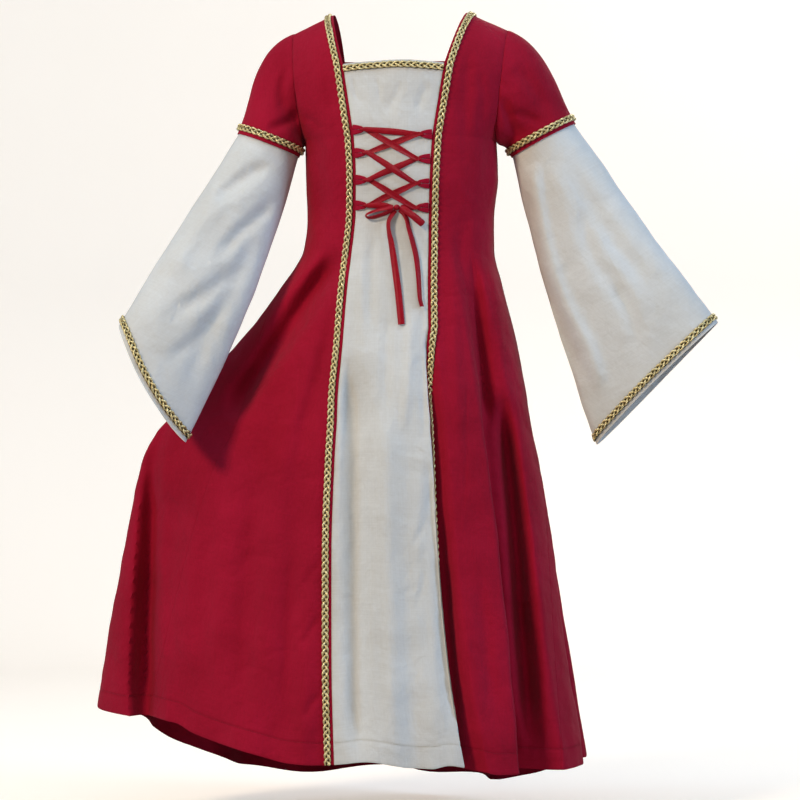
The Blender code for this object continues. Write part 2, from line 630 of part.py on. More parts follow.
def make_front(forms, red, pale, gold):
    """The pale panel and the two red ones beside it, with their braid."""
    half = GAP / 2
    edge = BRAID_MARGIN + BRAID_WIDTH
    left, right = seam_line(-1), seam_line(1)
    lines = [beside(side_line(-1), half), beside(left, -edge), beside(left, -BRAID_MARGIN), beside(left, -half)]
    grid = body_grid(lines, (12, 1, 1), levels(), [(0, forms[-1], False)])
    cloth("front_side_left", grid, red)
    braid("braid_front_left", grid.part(slice(None), slice(-3, -1)), gold)

    lines = [beside(right, half), beside(right, BRAID_MARGIN), beside(right, edge), beside(side_line(1), -half)]
    grid = body_grid(lines, (1, 1, 13), levels(), [(-1, forms[1], False)])
    cloth("front_side_right", grid, red)
    braid("braid_front_right", grid.part(slice(None), slice(1, 3)), gold)

    level = levels()[row_of(PANEL_TOP) :]
    angle, level = panel_grid([beside(left, half), beside(right, -half)], (PANEL_CELLS,), level)
    share = np.linspace(-1, 1, angle.shape[1])
    fade = np.clip(1 - np.arange(len(level)) / BOW_ROWS, 0, 1)
    fade[1] = 1
    level = level - PANEL_BOW / UNDERARM * (1 - share**2) * fade[:, None]
    grid = Grid(body(angle, level), body_normal(angle, level))
    cloth("front_middle", grid, pale)
    braid("braid_neck_front", grid.part(slice(0, 2), slice(None)), gold)


def make_back(forms, red, gold):
    """The back, with its square neck and the braid round it."""
    half = GAP / 2
    edge = BRAID_MARGIN + BRAID_WIDTH
    rights = [back_line(1, metres) for metres in (edge, BRAID_MARGIN, 0)]
    lefts = [back_line(-1, metres) for metres in (0, BRAID_MARGIN, edge)]
    lines = [beside(side_line(1, True), half), *rights, *lefts, beside(side_line(-1, True), -half)]
    cells = (8, 1, 1, 9, 1, 1, 11)
    grid = body_grid(lines, cells, levels(), [(0, forms[1], True), (-1, forms[-1], True)])
    neck = slice(cells[0] + 2, cells[0] + 2 + cells[3])
    keep = np.ones((len(grid.points) - 1, sum(cells)), bool)
    keep[: row_of(BACK_NECK), neck] = False
    cloth("back", grid, red, keep)
    rim = (BRAID_MARGIN + BRAID_WIDTH) / UNDERARM
    rows = slice(0, row_of(BACK_NECK + rim) + 1)
    columns = slice(cells[0], cells[0] + 4 + cells[3] + 1)
    keep = np.ones((rows.stop - 1, 4 + cells[3]), bool)
    keep[: row_of(BACK_NECK + BRAID_MARGIN / UNDERARM), 1:-1] = False
    braid("braid_neck_back", grid.part(rows, columns), gold, keep)


def make_sleeves(forms, red, pale, gold):
    for form in forms.values():
        word = form.cut.word
        grid = form.red_grid()
        cloth(f"sleeve_{word}", grid, red, closed=True)
        braid(f"braid_sleeve_{word}", grid.part(slice(-3, -1), slice(None)), gold, closed=True)
        grid = form.bell_grid()
        cloth(f"bell_{word}", grid, pale, closed=True)
        braid(f"braid_cuff_{word}", grid.part(slice(-3, -1), slice(None)), gold, closed=True)


def on_front(across, drop, lift):
    """A point this far over the front, given by its distance from the middle plane and its drop."""
    across, drop, lift = (np.asarray(v, float) for v in (across, drop, lift))
    hem = HEM.at("drop", FRONT)
    level = np.where(drop < UNDERARM, drop / UNDERARM - 1, (drop - UNDERARM) / (hem - UNDERARM))
    angle = front_angle(across, level)
    return body(angle, level) + body_normal(angle, level) * lift[..., None]


def seam_across(side, drop):
    """How far from the middle plane the pale panel's seam lies, near the lacing."""
    share = np.minimum(drop / UNDERARM, 1)
    below = (share - PANEL_TOP) / (1 - PANEL_TOP)
    high = PANEL_TOP_HALF + (PANEL_UNDERARM_HALF - PANEL_TOP_HALF) * below
    low = np.abs(SECTIONS.at("seam_left" if side < 0 else "seam_right", drop))
    return side * np.where(drop < UNDERARM, high, low)


def band(name, points, widths, thickness, axes, material):
    """A flat band along a line of points, as wide along its axes as given."""
    heading = unit(np.gradient(points, axis=0))
    axes = unit(axes - (axes * heading).sum(1, keepdims=True) * heading)
    out = np.cross(heading, axes) * np.reshape(thickness, (-1, 1)) / 2
    edges = np.stack([points - axes * widths[:, None] / 2, points + axes * widths[:, None] / 2], axis=1)
    wall(name, edges + out[:, None], edges - out[:, None], material)


def make_loop(name, side, drop, material):
    """A folded cloth loop that lies along the panel, with an eye at its end."""
    names = ("reach", "off", "width", "lift")
    reach, off, width, lift = (STRAND.columns[key] for key in names)
    reach, width, lift = (np.concatenate([v, v[-2::-1]]) for v in (reach, width, lift))
    off = np.concatenate([off, -off[-2::-1]])
    start = seam_across(side, drop)
    points = on_front(start - side * reach, drop - off, lift)
    out = unit(on_front(start - side * reach, drop - off, lift + LIFT_STEP) - points)
    heading = unit(np.gradient(points, axis=0))
    band(name, points, width, LOOP_THICKNESS, np.cross(out, heading), material)


def down_front(points_at):
    """The downward direction of the panel along a line of places."""
    across, drop, lift = points_at
    return on_front(across, drop + LIFT_STEP, lift) - on_front(across, drop - LIFT_STEP, lift)


def make_lacing(material):
    """One ribbon through every loop, from one side of the knot to the other."""
    places = {name: (side, drop) for name, side, drop in LOOPS}
    rows = [(KNOT[0] - KNOT_SIZE[0] - GAP, *LACING_END)]
    for name, ride in ROUTE:
        side, drop = places[name]
        start = seam_across(side, drop)
        eye = [(start - side * reach, drop, *turn) for reach, *turn in EYE_TURN]
        rows += stretch(rows[-1], eye[0], ride)
        rows += eye
    last = (KNOT[0] + KNOT_SIZE[0] + GAP, *LACING_END)
    rows += [*stretch(rows[-1], last, LAST_RIDE), last]
    across, drop, lift, width, thick = np.array(rows).T
    points = on_front(across, drop, lift)
    band("lacing", points, width, thick, down_front((across, drop, lift)), material)


def stretch(start, end, ride):
    """The ribbon between two loops, flat and at this height over the panel midway."""
    start, end = np.array(start), np.array(end)
    rows = []
    for share in STRETCH:
        row = start + (end - start) * share
        middle = min(1.0, STRETCH_RISE * min(share, 1 - share))
        row[2] += (ride - row[2]) * middle
        row[3] += (RIBBON_WIDTH - row[3]) * middle
        row[4] += (RIBBON_THICKNESS - row[4]) * middle
        rows.append(tuple(row))
    return rows


def make_ribbon(name, rows, material):
    """A bow loop or a hanging end, turned about its own line."""
    across, drop, lift, width, turn = np.array(rows).T
    points = on_front(across, drop, lift)
    out = unit(on_front(across, drop, lift + LIFT_STEP) - points)
    heading = unit(np.gradient(points, axis=0))
    flat = unit(np.cross(out, heading))
    turn = np.radians(turn)[:, None]
    band(name, points, width, RIBBON_THICKNESS, flat * np.cos(turn) + out * np.sin(turn), material)


def make_knot(material):
    mesh = bmesh.new()
    shape = Matrix.Diagonal((*KNOT_SIZE, 1))
    place = Matrix.Translation(on_front(*KNOT))
    bmesh.ops.create_uvsphere(mesh, u_segments=12, v_segments=8, radius=1, matrix=place @ shape)
    add("bow_knot", mesh, material)


def main():
    for old in list(bpy.data.objects):
        bpy.data.objects.remove(old)
    bpy.context.scene.collection.children.link(bpy.data.collections.new("medieval_dress"))
    red, pale, gold, satin = (material(name, *finish) for name, finish in MATERIALS.items())
    forms = {cut.side: SleeveForm(cut) for cut in SLEEVES}
    make_front(forms, red, pale, gold)
    make_back(forms, red, gold)
    make_sleeves(forms, red, pale, gold)
    for name, side, drop in LOOPS:
        make_loop(name, side, drop, red)
    make_lacing(satin)
    make_knot(satin)
    make_ribbon("tail_left", TAIL_LEFT, satin)
    make_ribbon("tail_right", TAIL_RIGHT, satin)
    make_ribbon("bow_left", BOW_LEFT, satin)
    make_ribbon("bow_right", BOW_RIGHT, satin)


main()
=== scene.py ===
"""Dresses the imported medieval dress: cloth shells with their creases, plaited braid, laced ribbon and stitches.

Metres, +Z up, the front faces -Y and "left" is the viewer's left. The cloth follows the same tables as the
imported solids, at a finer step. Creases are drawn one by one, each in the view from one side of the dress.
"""

from __future__ import annotations

import logging
import math
from collections.abc import Callable, Sequence
from dataclasses import dataclass
from enum import Enum

import bpy
import numpy as np
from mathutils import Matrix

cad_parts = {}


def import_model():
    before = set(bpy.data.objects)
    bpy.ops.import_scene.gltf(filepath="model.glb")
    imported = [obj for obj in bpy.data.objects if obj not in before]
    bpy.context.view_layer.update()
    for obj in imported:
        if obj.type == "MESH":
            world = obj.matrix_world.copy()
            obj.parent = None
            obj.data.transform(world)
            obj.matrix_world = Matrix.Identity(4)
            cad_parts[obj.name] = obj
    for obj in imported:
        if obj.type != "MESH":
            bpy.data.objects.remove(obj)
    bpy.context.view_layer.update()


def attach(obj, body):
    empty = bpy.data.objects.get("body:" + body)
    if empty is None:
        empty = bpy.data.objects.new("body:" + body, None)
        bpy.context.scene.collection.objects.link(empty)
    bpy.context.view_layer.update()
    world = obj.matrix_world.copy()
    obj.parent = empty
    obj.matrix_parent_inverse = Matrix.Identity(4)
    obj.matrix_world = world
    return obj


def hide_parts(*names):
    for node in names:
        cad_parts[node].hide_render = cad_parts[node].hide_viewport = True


log = logging.getLogger("medieval_dress")
Array = np.ndarray
Line = Callable[[Array], Array]
Material, Object, Socket = bpy.types.Material, bpy.types.Object, bpy.types.NodeSocket


@dataclass(frozen=True)
class Sizes:
    """Sizes of the cloth and trimmings, in metres unless said otherwise."""

    cloth: float = 0.0015
    shell: float = 0.0011
    gap: float = 0.0003
    braid_width: float = 0.0105
    braid_margin: float = 0.0032
    hem_margin: float = 0.0045
    neck_half: float = 0.0965
    shoulder_half: float = 0.156
    shoulder_fall: float = 0.027
    underarm: float = 0.1865
    rounding: float = 0.095
    square: float = 2.3
    panel_top: float = 0.44
    panel_top_half: float = 0.0725
    panel_underarm_half: float = 0.0560
    panel_bow: float = 0.004
    back_neck: float = 0.32
    back_neck_half: float = 0.0925
    hem_fold: float = 0.030
    ribbon: float = 0.008
    ribbon_thickness: float = 0.0008
    ribbon_fullness: float = 1.14
    hanging_fullness: float = 1.22
    bell_tuck: float = 0.024
    lap: float = 0.0008


SIZES = Sizes()
FRONT, BACK = 90.0, 270.0
SIDE_SEAMS = {-1: 20.0, 1: 170.0}
ANGLE_STEP, LEVEL_STEP, LIFT_STEP = 0.05, 0.0005, 0.001


def unit(v: Array) -> Array:
    """Vectors scaled to length one."""
    return v / np.maximum(np.linalg.norm(v, axis=-1, keepdims=True), 1e-12)


def smooth(x: Array) -> Array:
    """A soft step from 0 to 1."""
    x = np.clip(x, 0, 1)
    return x * x * (3 - 2 * x)


def near(distance: Array, width: float) -> Array:
    """One on a line, falling softly to nothing beside it."""
    return np.exp(-((distance / width) ** 2))


def corners(grid: Array) -> Array:
    """The four corners of each cell of a grid, going round it."""
    return np.stack([grid[:-1, :-1], grid[1:, :-1], grid[1:, 1:], grid[:-1, 1:]], 2)


def grid_faces(rows: int, columns: int, around: bool = True, onward: bool = False) -> Array:
    """Faces between the points of a grid.

    Args:
        rows: its rows.
        columns: its columns.
        around: whether its last column joins its first.
        onward: whether its last row joins its first.

    Returns:
        Four points for each face.
    """
    index = np.arange(rows * columns).reshape(rows, columns)
    if around:
        index = np.concatenate([index, index[:, :1]], 1)
    if onward:
        index = np.concatenate([index, index[:1]])
    return corners(index).reshape(-1, 4)


def run_along(points: Array, axis: int = 0) -> Array:
    """How far along a line, or along each line of a grid, its points lie."""
    run = np.linalg.norm(np.diff(points, axis=axis), axis=-1).cumsum(axis)
    return np.concatenate([np.zeros_like(run.take([0], axis)), run], axis)


class Table:
    """Rows of named columns, read smoothly between rows by the first column."""

    def __init__(self, names: str, *rows: Sequence[float]) -> None:
        """Takes the names of the columns, and the rows.

        Args:
            names: the columns' names in one string.
            rows: a value for each column.
        """
        keys = names.split()
        self.key = keys[0]
        self.columns = dict(zip(keys, np.array(rows, float).T))

    def at(self, name: str, where: Array | float) -> Array:
        """One column at these places, without overshoot between rows.

        Args:
            name: the column.
            where: places in the first column.

        Returns:
            A value for each place.
        """
        key, value = self.columns[self.key], self.columns[name]
        step, rise = np.diff(key), np.diff(value)
        slope = rise / step
        product, total = slope[1:] * slope[:-1], slope[1:] + slope[:-1]
        inner = np.where(product > 0, 2 * product / np.where(total == 0, 1, total), 0)
        tangent = np.concatenate([slope[:1], inner, slope[-1:]])
        where = np.clip(where, key[0], key[-1])
        i = np.clip(np.searchsorted(key, where, side="right") - 1, 0, len(step) - 1)
        t = (where - key[i]) / step[i]
        bend = step[i] * t * (1 - t) * (tangent[i] * (1 - t) - tangent[i + 1] * t)
        return value[i] + rise[i] * t * t * (3 - 2 * t) + bend


YOKE = Table(
    "share half front back arm",
    (0.00, 0.176, 0.088, 0.080, 0.156),
    (0.35, 0.171, 0.094, 0.088, 0.151),
    (0.60, 0.163, 0.098, 0.091, 0.147),
    (0.80, 0.153, 0.100, 0.092, 0.143),
    (0.92, 0.145, 0.101, 0.092, 0.140),
    (1.00, 0.139, 0.101, 0.092, 0.139),
)
SECTIONS = Table(
    "drop left right front back pinch turn seam_left seam_right swing_left swing_right",
    (0.1865, 0.139, 0.139, 0.101, 0.092, 2.30, -7.0, -0.0560, 0.0560, 0, 0),
    (0.2385, 0.138, 0.141, 0.102, 0.092, 2.30, -7.0, -0.0530, 0.0530, 0, 0),
    (0.2975, 0.136, 0.135, 0.098, 0.090, 2.25, -7.0, -0.0540, 0.0510, 2, 0),
    (0.3405, 0.141, 0.135, 0.101, 0.094, 2.15, -6.5, -0.0590, 0.0500, 5, 0),
    (0.3985, 0.177, 0.148, 0.112, 0.108, 1.85, -4.8, -0.0680, 0.0470, 12, 0),
    (0.4855, 0.245, 0.170, 0.132, 0.132, 1.60, -2.5, -0.0780, 0.0445, 27, 2),
    (0.5525, 0.303, 0.183, 0.146, 0.150, 1.50, -1.0, -0.0870, 0.0425, 36, 4),
    (0.6025, 0.352, 0.191, 0.155, 0.162, 1.46, 0.0, -0.0915, 0.0425, 40, 7),
    (0.6445, 0.373, 0.201, 0.163, 0.172, 1.48, 0.0, -0.0940, 0.0465, 38, 11),
    (0.7755, 0.400, 0.223, 0.185, 0.198, 1.58, 0.0, -0.0980, 0.0558, 34, 24),
    (0.9205, 0.427, 0.244, 0.210, 0.224, 1.70, 0.0, -0.0975, 0.0699, 32, 31),
    (1.0750, 0.454, 0.269, 0.236, 0.248, 1.80, 0.0, -0.0930, 0.0985, 33, 36),
)
HEM = Table(
    "angle drop",
    (0, 1.003), (28, 1.008), (40, 1.013), (46, 1.025), (54, 1.038), (61, 1.047), (69, 1.059), (76, 1.061),
    (84, 1.055), (92, 1.063), (99, 1.064), (104, 1.060), (109, 1.063), (120, 1.075), (139, 1.077), (180, 1.078),
    (198, 1.088), (214, 1.112), (234, 1.131), (250, 1.130), (270, 1.120), (290, 1.122), (303, 1.114),
    (311, 1.098), (320, 1.075), (330, 1.045), (342, 1.018), (360, 1.003),
)


@dataclass(frozen=True)
class Fold:
    """A deep fold of the skirt: a valley between two ridges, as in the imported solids.

    Args:
        name: what it is.
        top: its angle where it starts.
        hem: its angle at the hem.
        half: half its width, in degrees.
        depth: how far it goes in at the hem.
        start: the drop at which it starts.
        power: how late it deepens, where 1 is evenly.
        lean: how far it leans round the body, as a share of its depth.
        late: how late it swings from its top to its hem, where 1 is evenly.
    """

    name: str
    top: float
    hem: float
    half: float
    depth: float
    start: float
    power: float
    lean: float
    late: float


FOLDS = (
    Fold("lifted_side", 5, 36, 7, 0.036, 0.58, 0.7, -0.90, 1),
    Fold("lifted_side_broad", 15, 46, 16, 0.020, 0.58, 0.8, -0.30, 1),
    Fold("left_soft_outer", 52, 55, 9, 0.007, 0.40, 0.8, 0, 1),
    Fold("left_soft_inner", 66, 66, 6, 0.007, 0.45, 0.8, 0, 1),
    Fold("left_seam", 74, 77, 5, 0.009, 0.36, 0.9, 0, 1),
    Fold("pale_middle", 94, 94, 7, 0.007, 0.55, 1.0, 0, 1),
    Fold("pale_edge", 105.6, 112.6, 3.6, 0.050, 0.46, 0.7, -0.42, 3),
    Fold("right_deep", 133.5, 135.5, 10, 0.076, 0.29, 1.0, -0.10, 1),
    Fold("right_side", 178, 172, 11, 0.032, 0.45, 1.2, 0.10, 1),
    Fold("back_right_outer", 208, 206, 13, 0.050, 0.34, 1.0, 0.10, 1),
    Fold("back_right_inner", 236, 233, 13, 0.060, 0.36, 1.1, -0.10, 1),
    Fold("back_middle", 262, 261, 13, 0.046, 0.42, 1.2, 0.05, 1),
    Fold("back_left_inner", 287, 288, 13, 0.056, 0.36, 1.0, 0.10, 1),
    Fold("back_left_outer", 314, 313, 12, 0.048, 0.40, 1.1, -0.10, 1),
    Fold("back_left_side", 338, 337, 11, 0.036, 0.50, 1.0, 0.10, 1),
)
FOLD_BOTTOM = 1.075


class BodyForm:
    """The body's surface by angle (0 left side, 90 front, 180 right side, 270 back) and level.

    The level runs from the shoulder seams (-1) to the underarm (0) and on to the hem (1).
    """

    def section(
        self, angle: Array, left: Array, right: Array, front: Array, back: Array, pinch: Array
    ) -> tuple:
        """A level outline of the body.

        Args:
            angle: degrees round the body.
            left: its reach to the left.
            right: its reach to the right.
            front: its reach to the front.
            back: its reach to the back.
            pinch: how square its left is, where 2 is round.

        Returns:
            Its x and y.
        """
        across, along = np.cos(np.radians(angle)), np.sin(np.radians(angle))
        power = np.where(across > 0, pinch, SIZES.square)
        reach = (np.abs(across) ** power + np.abs(along) ** power) ** (-1 / power)
        x = -np.where(across > 0, left, right) * reach * across
        return x, -np.where(along > 0, front, back) * reach * along

    def yoke(self, angle: Array, share: Array) -> tuple:
        """The body from the shoulder seams (share 0) to the underarm (share 1).

        Args:
            angle: degrees round the body.
            share: shares of the way down.

        Returns:
            Its x, y and z.
        """
        half = YOKE.at("half", share)
        x, y = self.section(angle, half, half, YOKE.at("front", share), YOKE.at("back", share), SIZES.square)
        beyond = np.clip(np.abs(x) - SIZES.neck_half, 0, None)
        top = -beyond * SIZES.shoulder_fall / (SIZES.shoulder_half - SIZES.neck_half)
        z = top - (top + SIZES.underarm) * share
        below = np.clip((top - z) / SIZES.rounding, 0, 1)
        return x, y * np.sqrt(1 - (1 - below) ** 2), z

    def folds(self, angle: Array, drop: Array) -> tuple:
        """How far the folds move the cloth inwards and round the body.

        Args:
            angle: degrees round the body.
            drop: how far below the origin.

        Returns:
            Both distances.
        """
        inward, round_body = np.zeros_like(angle + drop), np.zeros_like(angle + drop)
        for fold in FOLDS:
            share = np.clip((drop - fold.start) / (FOLD_BOTTOM - fold.start), 0, 1.05)
            off = (angle - fold.top - (fold.hem - fold.top) * share**fold.late + 180) % 360 - 180
            shape = np.where(np.abs(off) < fold.half, np.cos(off / fold.half * math.pi / 2) ** 2, 0)
            depth = fold.depth * share**fold.power * shape
            inward += depth
            round_body += fold.lean * depth
        return inward, round_body

    def drop(self, angle: Array, level: Array) -> Array:
        """How far below the origin a level lies, below the underarm."""
        return SIZES.underarm + (HEM.at("drop", angle % 360) - SIZES.underarm) * np.clip(level, 0, None)

    def skirt(self, angle: Array, level: Array) -> tuple:
        """The body from the underarm to the hem.

        Args:
            angle: degrees round the body.
            level: levels of the body.

        Returns:
            Its x, y and z.
        """
        drop = self.drop(angle, level)
        sizes = [SECTIONS.at(name, drop) for name in ("left", "right", "front", "back", "pinch")]
        x, y = self.section(angle, *sizes)
        ahead, behind = self.section(angle + ANGLE_STEP, *sizes), self.section(angle - ANGLE_STEP, *sizes)
        along = unit(np.stack([ahead[0] - behind[0], ahead[1] - behind[1]], -1))
        inward, round_body = self.folds(angle, drop)
        x = x - inward * along[..., 1] + round_body * along[..., 0]
        y = y + inward * along[..., 0] + round_body * along[..., 1]
        return x, y, -drop

    def point(self, angle: Array, level: Array) -> Array:
        """Points of the cloth's outer face.

        Args:
            angle: degrees round the body.
            level: levels of the body.

        Returns:
            The points.
        """
        angle, level = np.broadcast_arrays(np.asarray(angle, float), np.asarray(level, float))
        high, low = self.yoke(angle, np.clip(1 + level, 0, 1)), self.skirt(angle, level)
        x, y, z = (np.where(level < 0, a, b) for a, b in zip(high, low))
        turn = np.radians(SECTIONS.at("turn", -z))
        return np.stack([x * np.cos(turn) - y * np.sin(turn), x * np.sin(turn) + y * np.cos(turn), z], -1)

    def normal(self, angle: Array, level: Array) -> Array:
        """The outward direction of the surface.

        Args:
            angle: degrees round the body.
            level: levels of the body.

        Returns:
            A direction for each point.
        """
        level = np.asarray(level, float)
        down = self.point(angle, level + LEVEL_STEP) - self.point(angle, np.maximum(level - LEVEL_STEP, -1))
        along = self.point(angle + ANGLE_STEP, level) - self.point(angle - ANGLE_STEP, level)
        return unit(np.cross(down, along))

    def speed(self, angle: Array, level: Array) -> Array:
        """Metres of cloth for each degree round the body.

        Args:
            angle: degrees round the body.
            level: levels of the body.

        Returns:
            A length for each point.
        """
        ahead, behind = self.point(angle + ANGLE_STEP, level), self.point(angle - ANGLE_STEP, level)
        return np.linalg.norm(ahead - behind, axis=-1) / 2 / ANGLE_STEP

    def beside(self, line: Line, metres: float) -> Line:
        """A line this far along the cloth from another."""
        return lambda level: line(level) + metres / self.speed(line(level), level)

    @staticmethod
    def from_side(x: Array, half: Array, power: Array) -> Array:
        """Degrees from a side's outermost point to where the section is this far from the middle."""
        share = np.clip(np.abs(x) / half, 1e-6, 1)
        return np.degrees(np.arctan((share**-power - 1) ** (1 / power)))

    def front_angle(self, x: Array, level: Array) -> Array:
        """The angle at which the front reaches x, before the body's turn and folds.

        Args:
            x: distances from the middle plane.
            level: levels of the body.

        Returns:
            The angles.
        """
        half = YOKE.at("half", np.clip(1 + level, 0, 1))
        drop = self.drop(np.full_like(level, FRONT), level)
        left, right = (np.where(level < 0, half, SECTIONS.at(name, drop)) for name in ("left", "right"))
        left = self.from_side(x, left, SECTIONS.at("pinch", drop))
        right = self.from_side(x, right, SIZES.square)
        return np.where(x < 0, left, 180 - right)

    def seam(self, side: int) -> Line:
        """The neck edge and, below it, the pale panel's seam.

        Args:
            side: -1 for the left one, 1 for the right one.

        Returns:
            A line: its angle at each level.
        """

        def line(level: Array) -> Array:
            """The angle at each level.

            Args:
                level: levels of the body.

            Returns:
                An angle for each.
            """
            share = 1 + level
            neck = SIZES.neck_half + (SIZES.panel_top_half - SIZES.neck_half) * share / SIZES.panel_top
            below = (share - SIZES.panel_top) / (1 - SIZES.panel_top)
            panel = SIZES.panel_top_half + (SIZES.panel_underarm_half - SIZES.panel_top_half) * below
            drop = self.drop(np.full_like(level, FRONT), level)
            low = SECTIONS.at("seam_left" if side < 0 else "seam_right", drop)
            high = side * np.where(share < SIZES.panel_top, neck, panel)
            return self.front_angle(np.where(level < 0, high, low), level)

        return line

    def side(self, side: int, back: bool = False) -> Line:
        """The armhole's edge and, below it, the side seam.

        Args:
            side: -1 for the left one, 1 for the right one.
            back: whether it is the back's edge.

        Returns:
            A line: its angle at each level.
        """

        def line(level: Array) -> Array:
            """The angle at each level.

            Args:
                level: levels of the body.

            Returns:
                An angle for each.
            """
            share = np.clip(1 + level, 0, 1)
            cut = self.from_side(YOKE.at("arm", share), YOKE.at("half", share), SIZES.square)
            cut = -cut if back else cut
            drop = self.drop(np.full_like(level, SIDE_SEAMS[side]), level)
            angle = np.where(level < 0, cut, SECTIONS.at("swing_left" if side < 0 else "swing_right", drop))
            return angle + (360 if back else 0) if side < 0 else 180 - angle

        return line

    def back_edge(self, side: int) -> Line:
        """The side of the back's square neck, and a line down the back below it.

        Args:
            side: -1 for the left one, 1 for the right one.

        Returns:
            A line: its angle at each level.
        """

        def line(level: Array) -> Array:
            """The angle at each level.

            Args:
                level: levels of the body.

            Returns:
                An angle for each.
            """
            share = np.minimum(np.clip(1 + level, 0, 1) / SIZES.back_neck, 1)
            x = SIZES.neck_half + (SIZES.back_neck_half - SIZES.neck_half) * share
            drop = self.drop(np.full_like(level, BACK), level)
            reach = SECTIONS.at("left" if side < 0 else "right", drop) / SECTIONS.at("left", SIZES.underarm)
            return 360 - self.front_angle(side * x * np.where(level < 0, 1, reach), level)

        return line


FORM = BodyForm()


class View(Enum):
    """The side from which a crease is drawn: the axis that runs across it, and the way its cloth faces."""

    FRONT = (0, (0, -1, 0))
    BACK = (0, (0, 1, 0))
    LEFT = (1, (-1, 0, 0))
    RIGHT = (1, (1, 0, 0))


CREASE_REACH, CREASE_RIM = 3, 0.45
TURNED_AWAY, TURNED_TO = 0.02, 0.25


@dataclass(frozen=True)
class Crease:
    """A soft trough, or a ridge where the depth is negative.

    Args:
        line: points (across, drop), where across is x from the front or back and y from a side.
        width: half its width.
        depth: how far it goes in at its deepest.
        view: the side it is drawn from.
        fade: share of its length over which it fades at each end.
    """

    line: Array
    width: float
    depth: float
    view: View
    fade: float

    def depth_at(self, points: Array, normals: Array) -> Array:
        """How far it presses the cloth in.

        Args:
            points: points of the cloth.
            normals: the outward direction at each.

        Returns:
            A depth for each point.
        """
        axis, facing = self.view.value
        flat = np.stack([points[..., axis], -points[..., 2]], -1).reshape(-1, 2)
        towards = normals.reshape(-1, 3) @ facing
        route = catmull(self.line, 8)
        low, high = route.min(0) - CREASE_REACH * self.width, route.max(0) + CREASE_REACH * self.width
        close = np.flatnonzero(((flat > low) & (flat < high)).all(1) & (towards > TURNED_AWAY))
        pressed = np.zeros(len(flat))
        if len(close):
            step, run = np.diff(route, axis=0), run_along(route)
            length = np.linalg.norm(step, axis=1)
            off = flat[close][:, None] - route[:-1]
            t = np.clip((off * step).sum(-1) / np.maximum(length**2, 1e-12), 0, 1)
            away = np.linalg.norm(off - t[..., None] * step, axis=-1)
            best, rows = away.argmin(1), np.arange(len(close))
            share = (run[best] + t[rows, best] * length[best]) / run[-1]
            ends = smooth(share / self.fade) * smooth((1 - share) / self.fade)
            d = away[rows, best] / self.width
            turned = smooth(towards[close] / TURNED_TO)
            pressed[close] = self.depth * ends * turned * (1 - CREASE_RIM * d**2) * np.exp(-(d**2))
        return pressed.reshape(points.shape[:-1])


def creases(view: View, *rows: Sequence) -> tuple[Crease, ...]:
    """Creases drawn from one side.

    Args:
        view: the side.
        rows: for each its half width and depth in millimetres, its fade, and its points in millimetres.

    Returns:
        The creases, in metres.
    """
    made = []
    for width, depth, fade, *line in rows:
        made.append(Crease(np.array(line) / 1000, width / 1000, depth / 1000, view, fade))
    return tuple(made)


def catmull(points: Array, steps: int) -> Array:
    """A smooth line through points.

    Args:
        points: the points, one a row.
        steps: pieces between one point and the next.

    Returns:
        Points of the line.
    """
    padded = np.concatenate([2 * points[:1] - points[1:2], points, 2 * points[-1:] - points[-2:-1]])
    t = (np.arange(steps) / steps)[None, :, None]
    a, b, c, d = (padded[i : len(padded) - 3 + i, None] for i in range(4))
    line = 0.5 * (2 * b + (c - a) * t + (2 * a - 5 * b + 4 * c - d) * t**2 + (3 * b - a - 3 * c + d) * t**3)
    return np.concatenate([line.reshape(-1, points.shape[1]), points[-1:]])


def ripple(where: Array, seed: int, wave: float, waves: int = 5) -> Array:
    """An uneven wave along a line, about -1 to 1, the same each run.

    Args:
        where: places along the line.
        seed: its seed.
        wave: about how long its waves are.
        waves: how many waves it sums.

    Returns:
        Its height at each place.
    """
    random = np.random.default_rng(seed)
    total = np.zeros_like(where)
    for _ in range(waves):
        length = wave * random.uniform(0.55, 1.9)
        total += random.uniform(0.5, 1.0) * np.sin(where / length * 2 * math.pi + random.uniform(0, 6.28))
    return total / math.sqrt(waves)


def unevenness(points: Array, seed: int, wave: float, waves: int = 14) -> Array:
    """A soft uneven swelling in space, about -1 to 1, the same each run.

    Args:
        points: places.
        seed: its seed.
        wave: about how long its waves are.
        waves: how many waves it sums.

    Returns:
        Its height at each place.
    """
    random = np.random.default_rng(seed)
    total = np.zeros(points.shape[:-1])
    for _ in range(waves):
        way = unit(random.normal(size=3) * (1, 1, 0.55))
        length, phase = wave * random.uniform(0.6, 1.8), random.uniform(0, 6.28)
        total += np.sin(points @ way / length * 2 * math.pi + phase)
    return total / math.sqrt(waves)


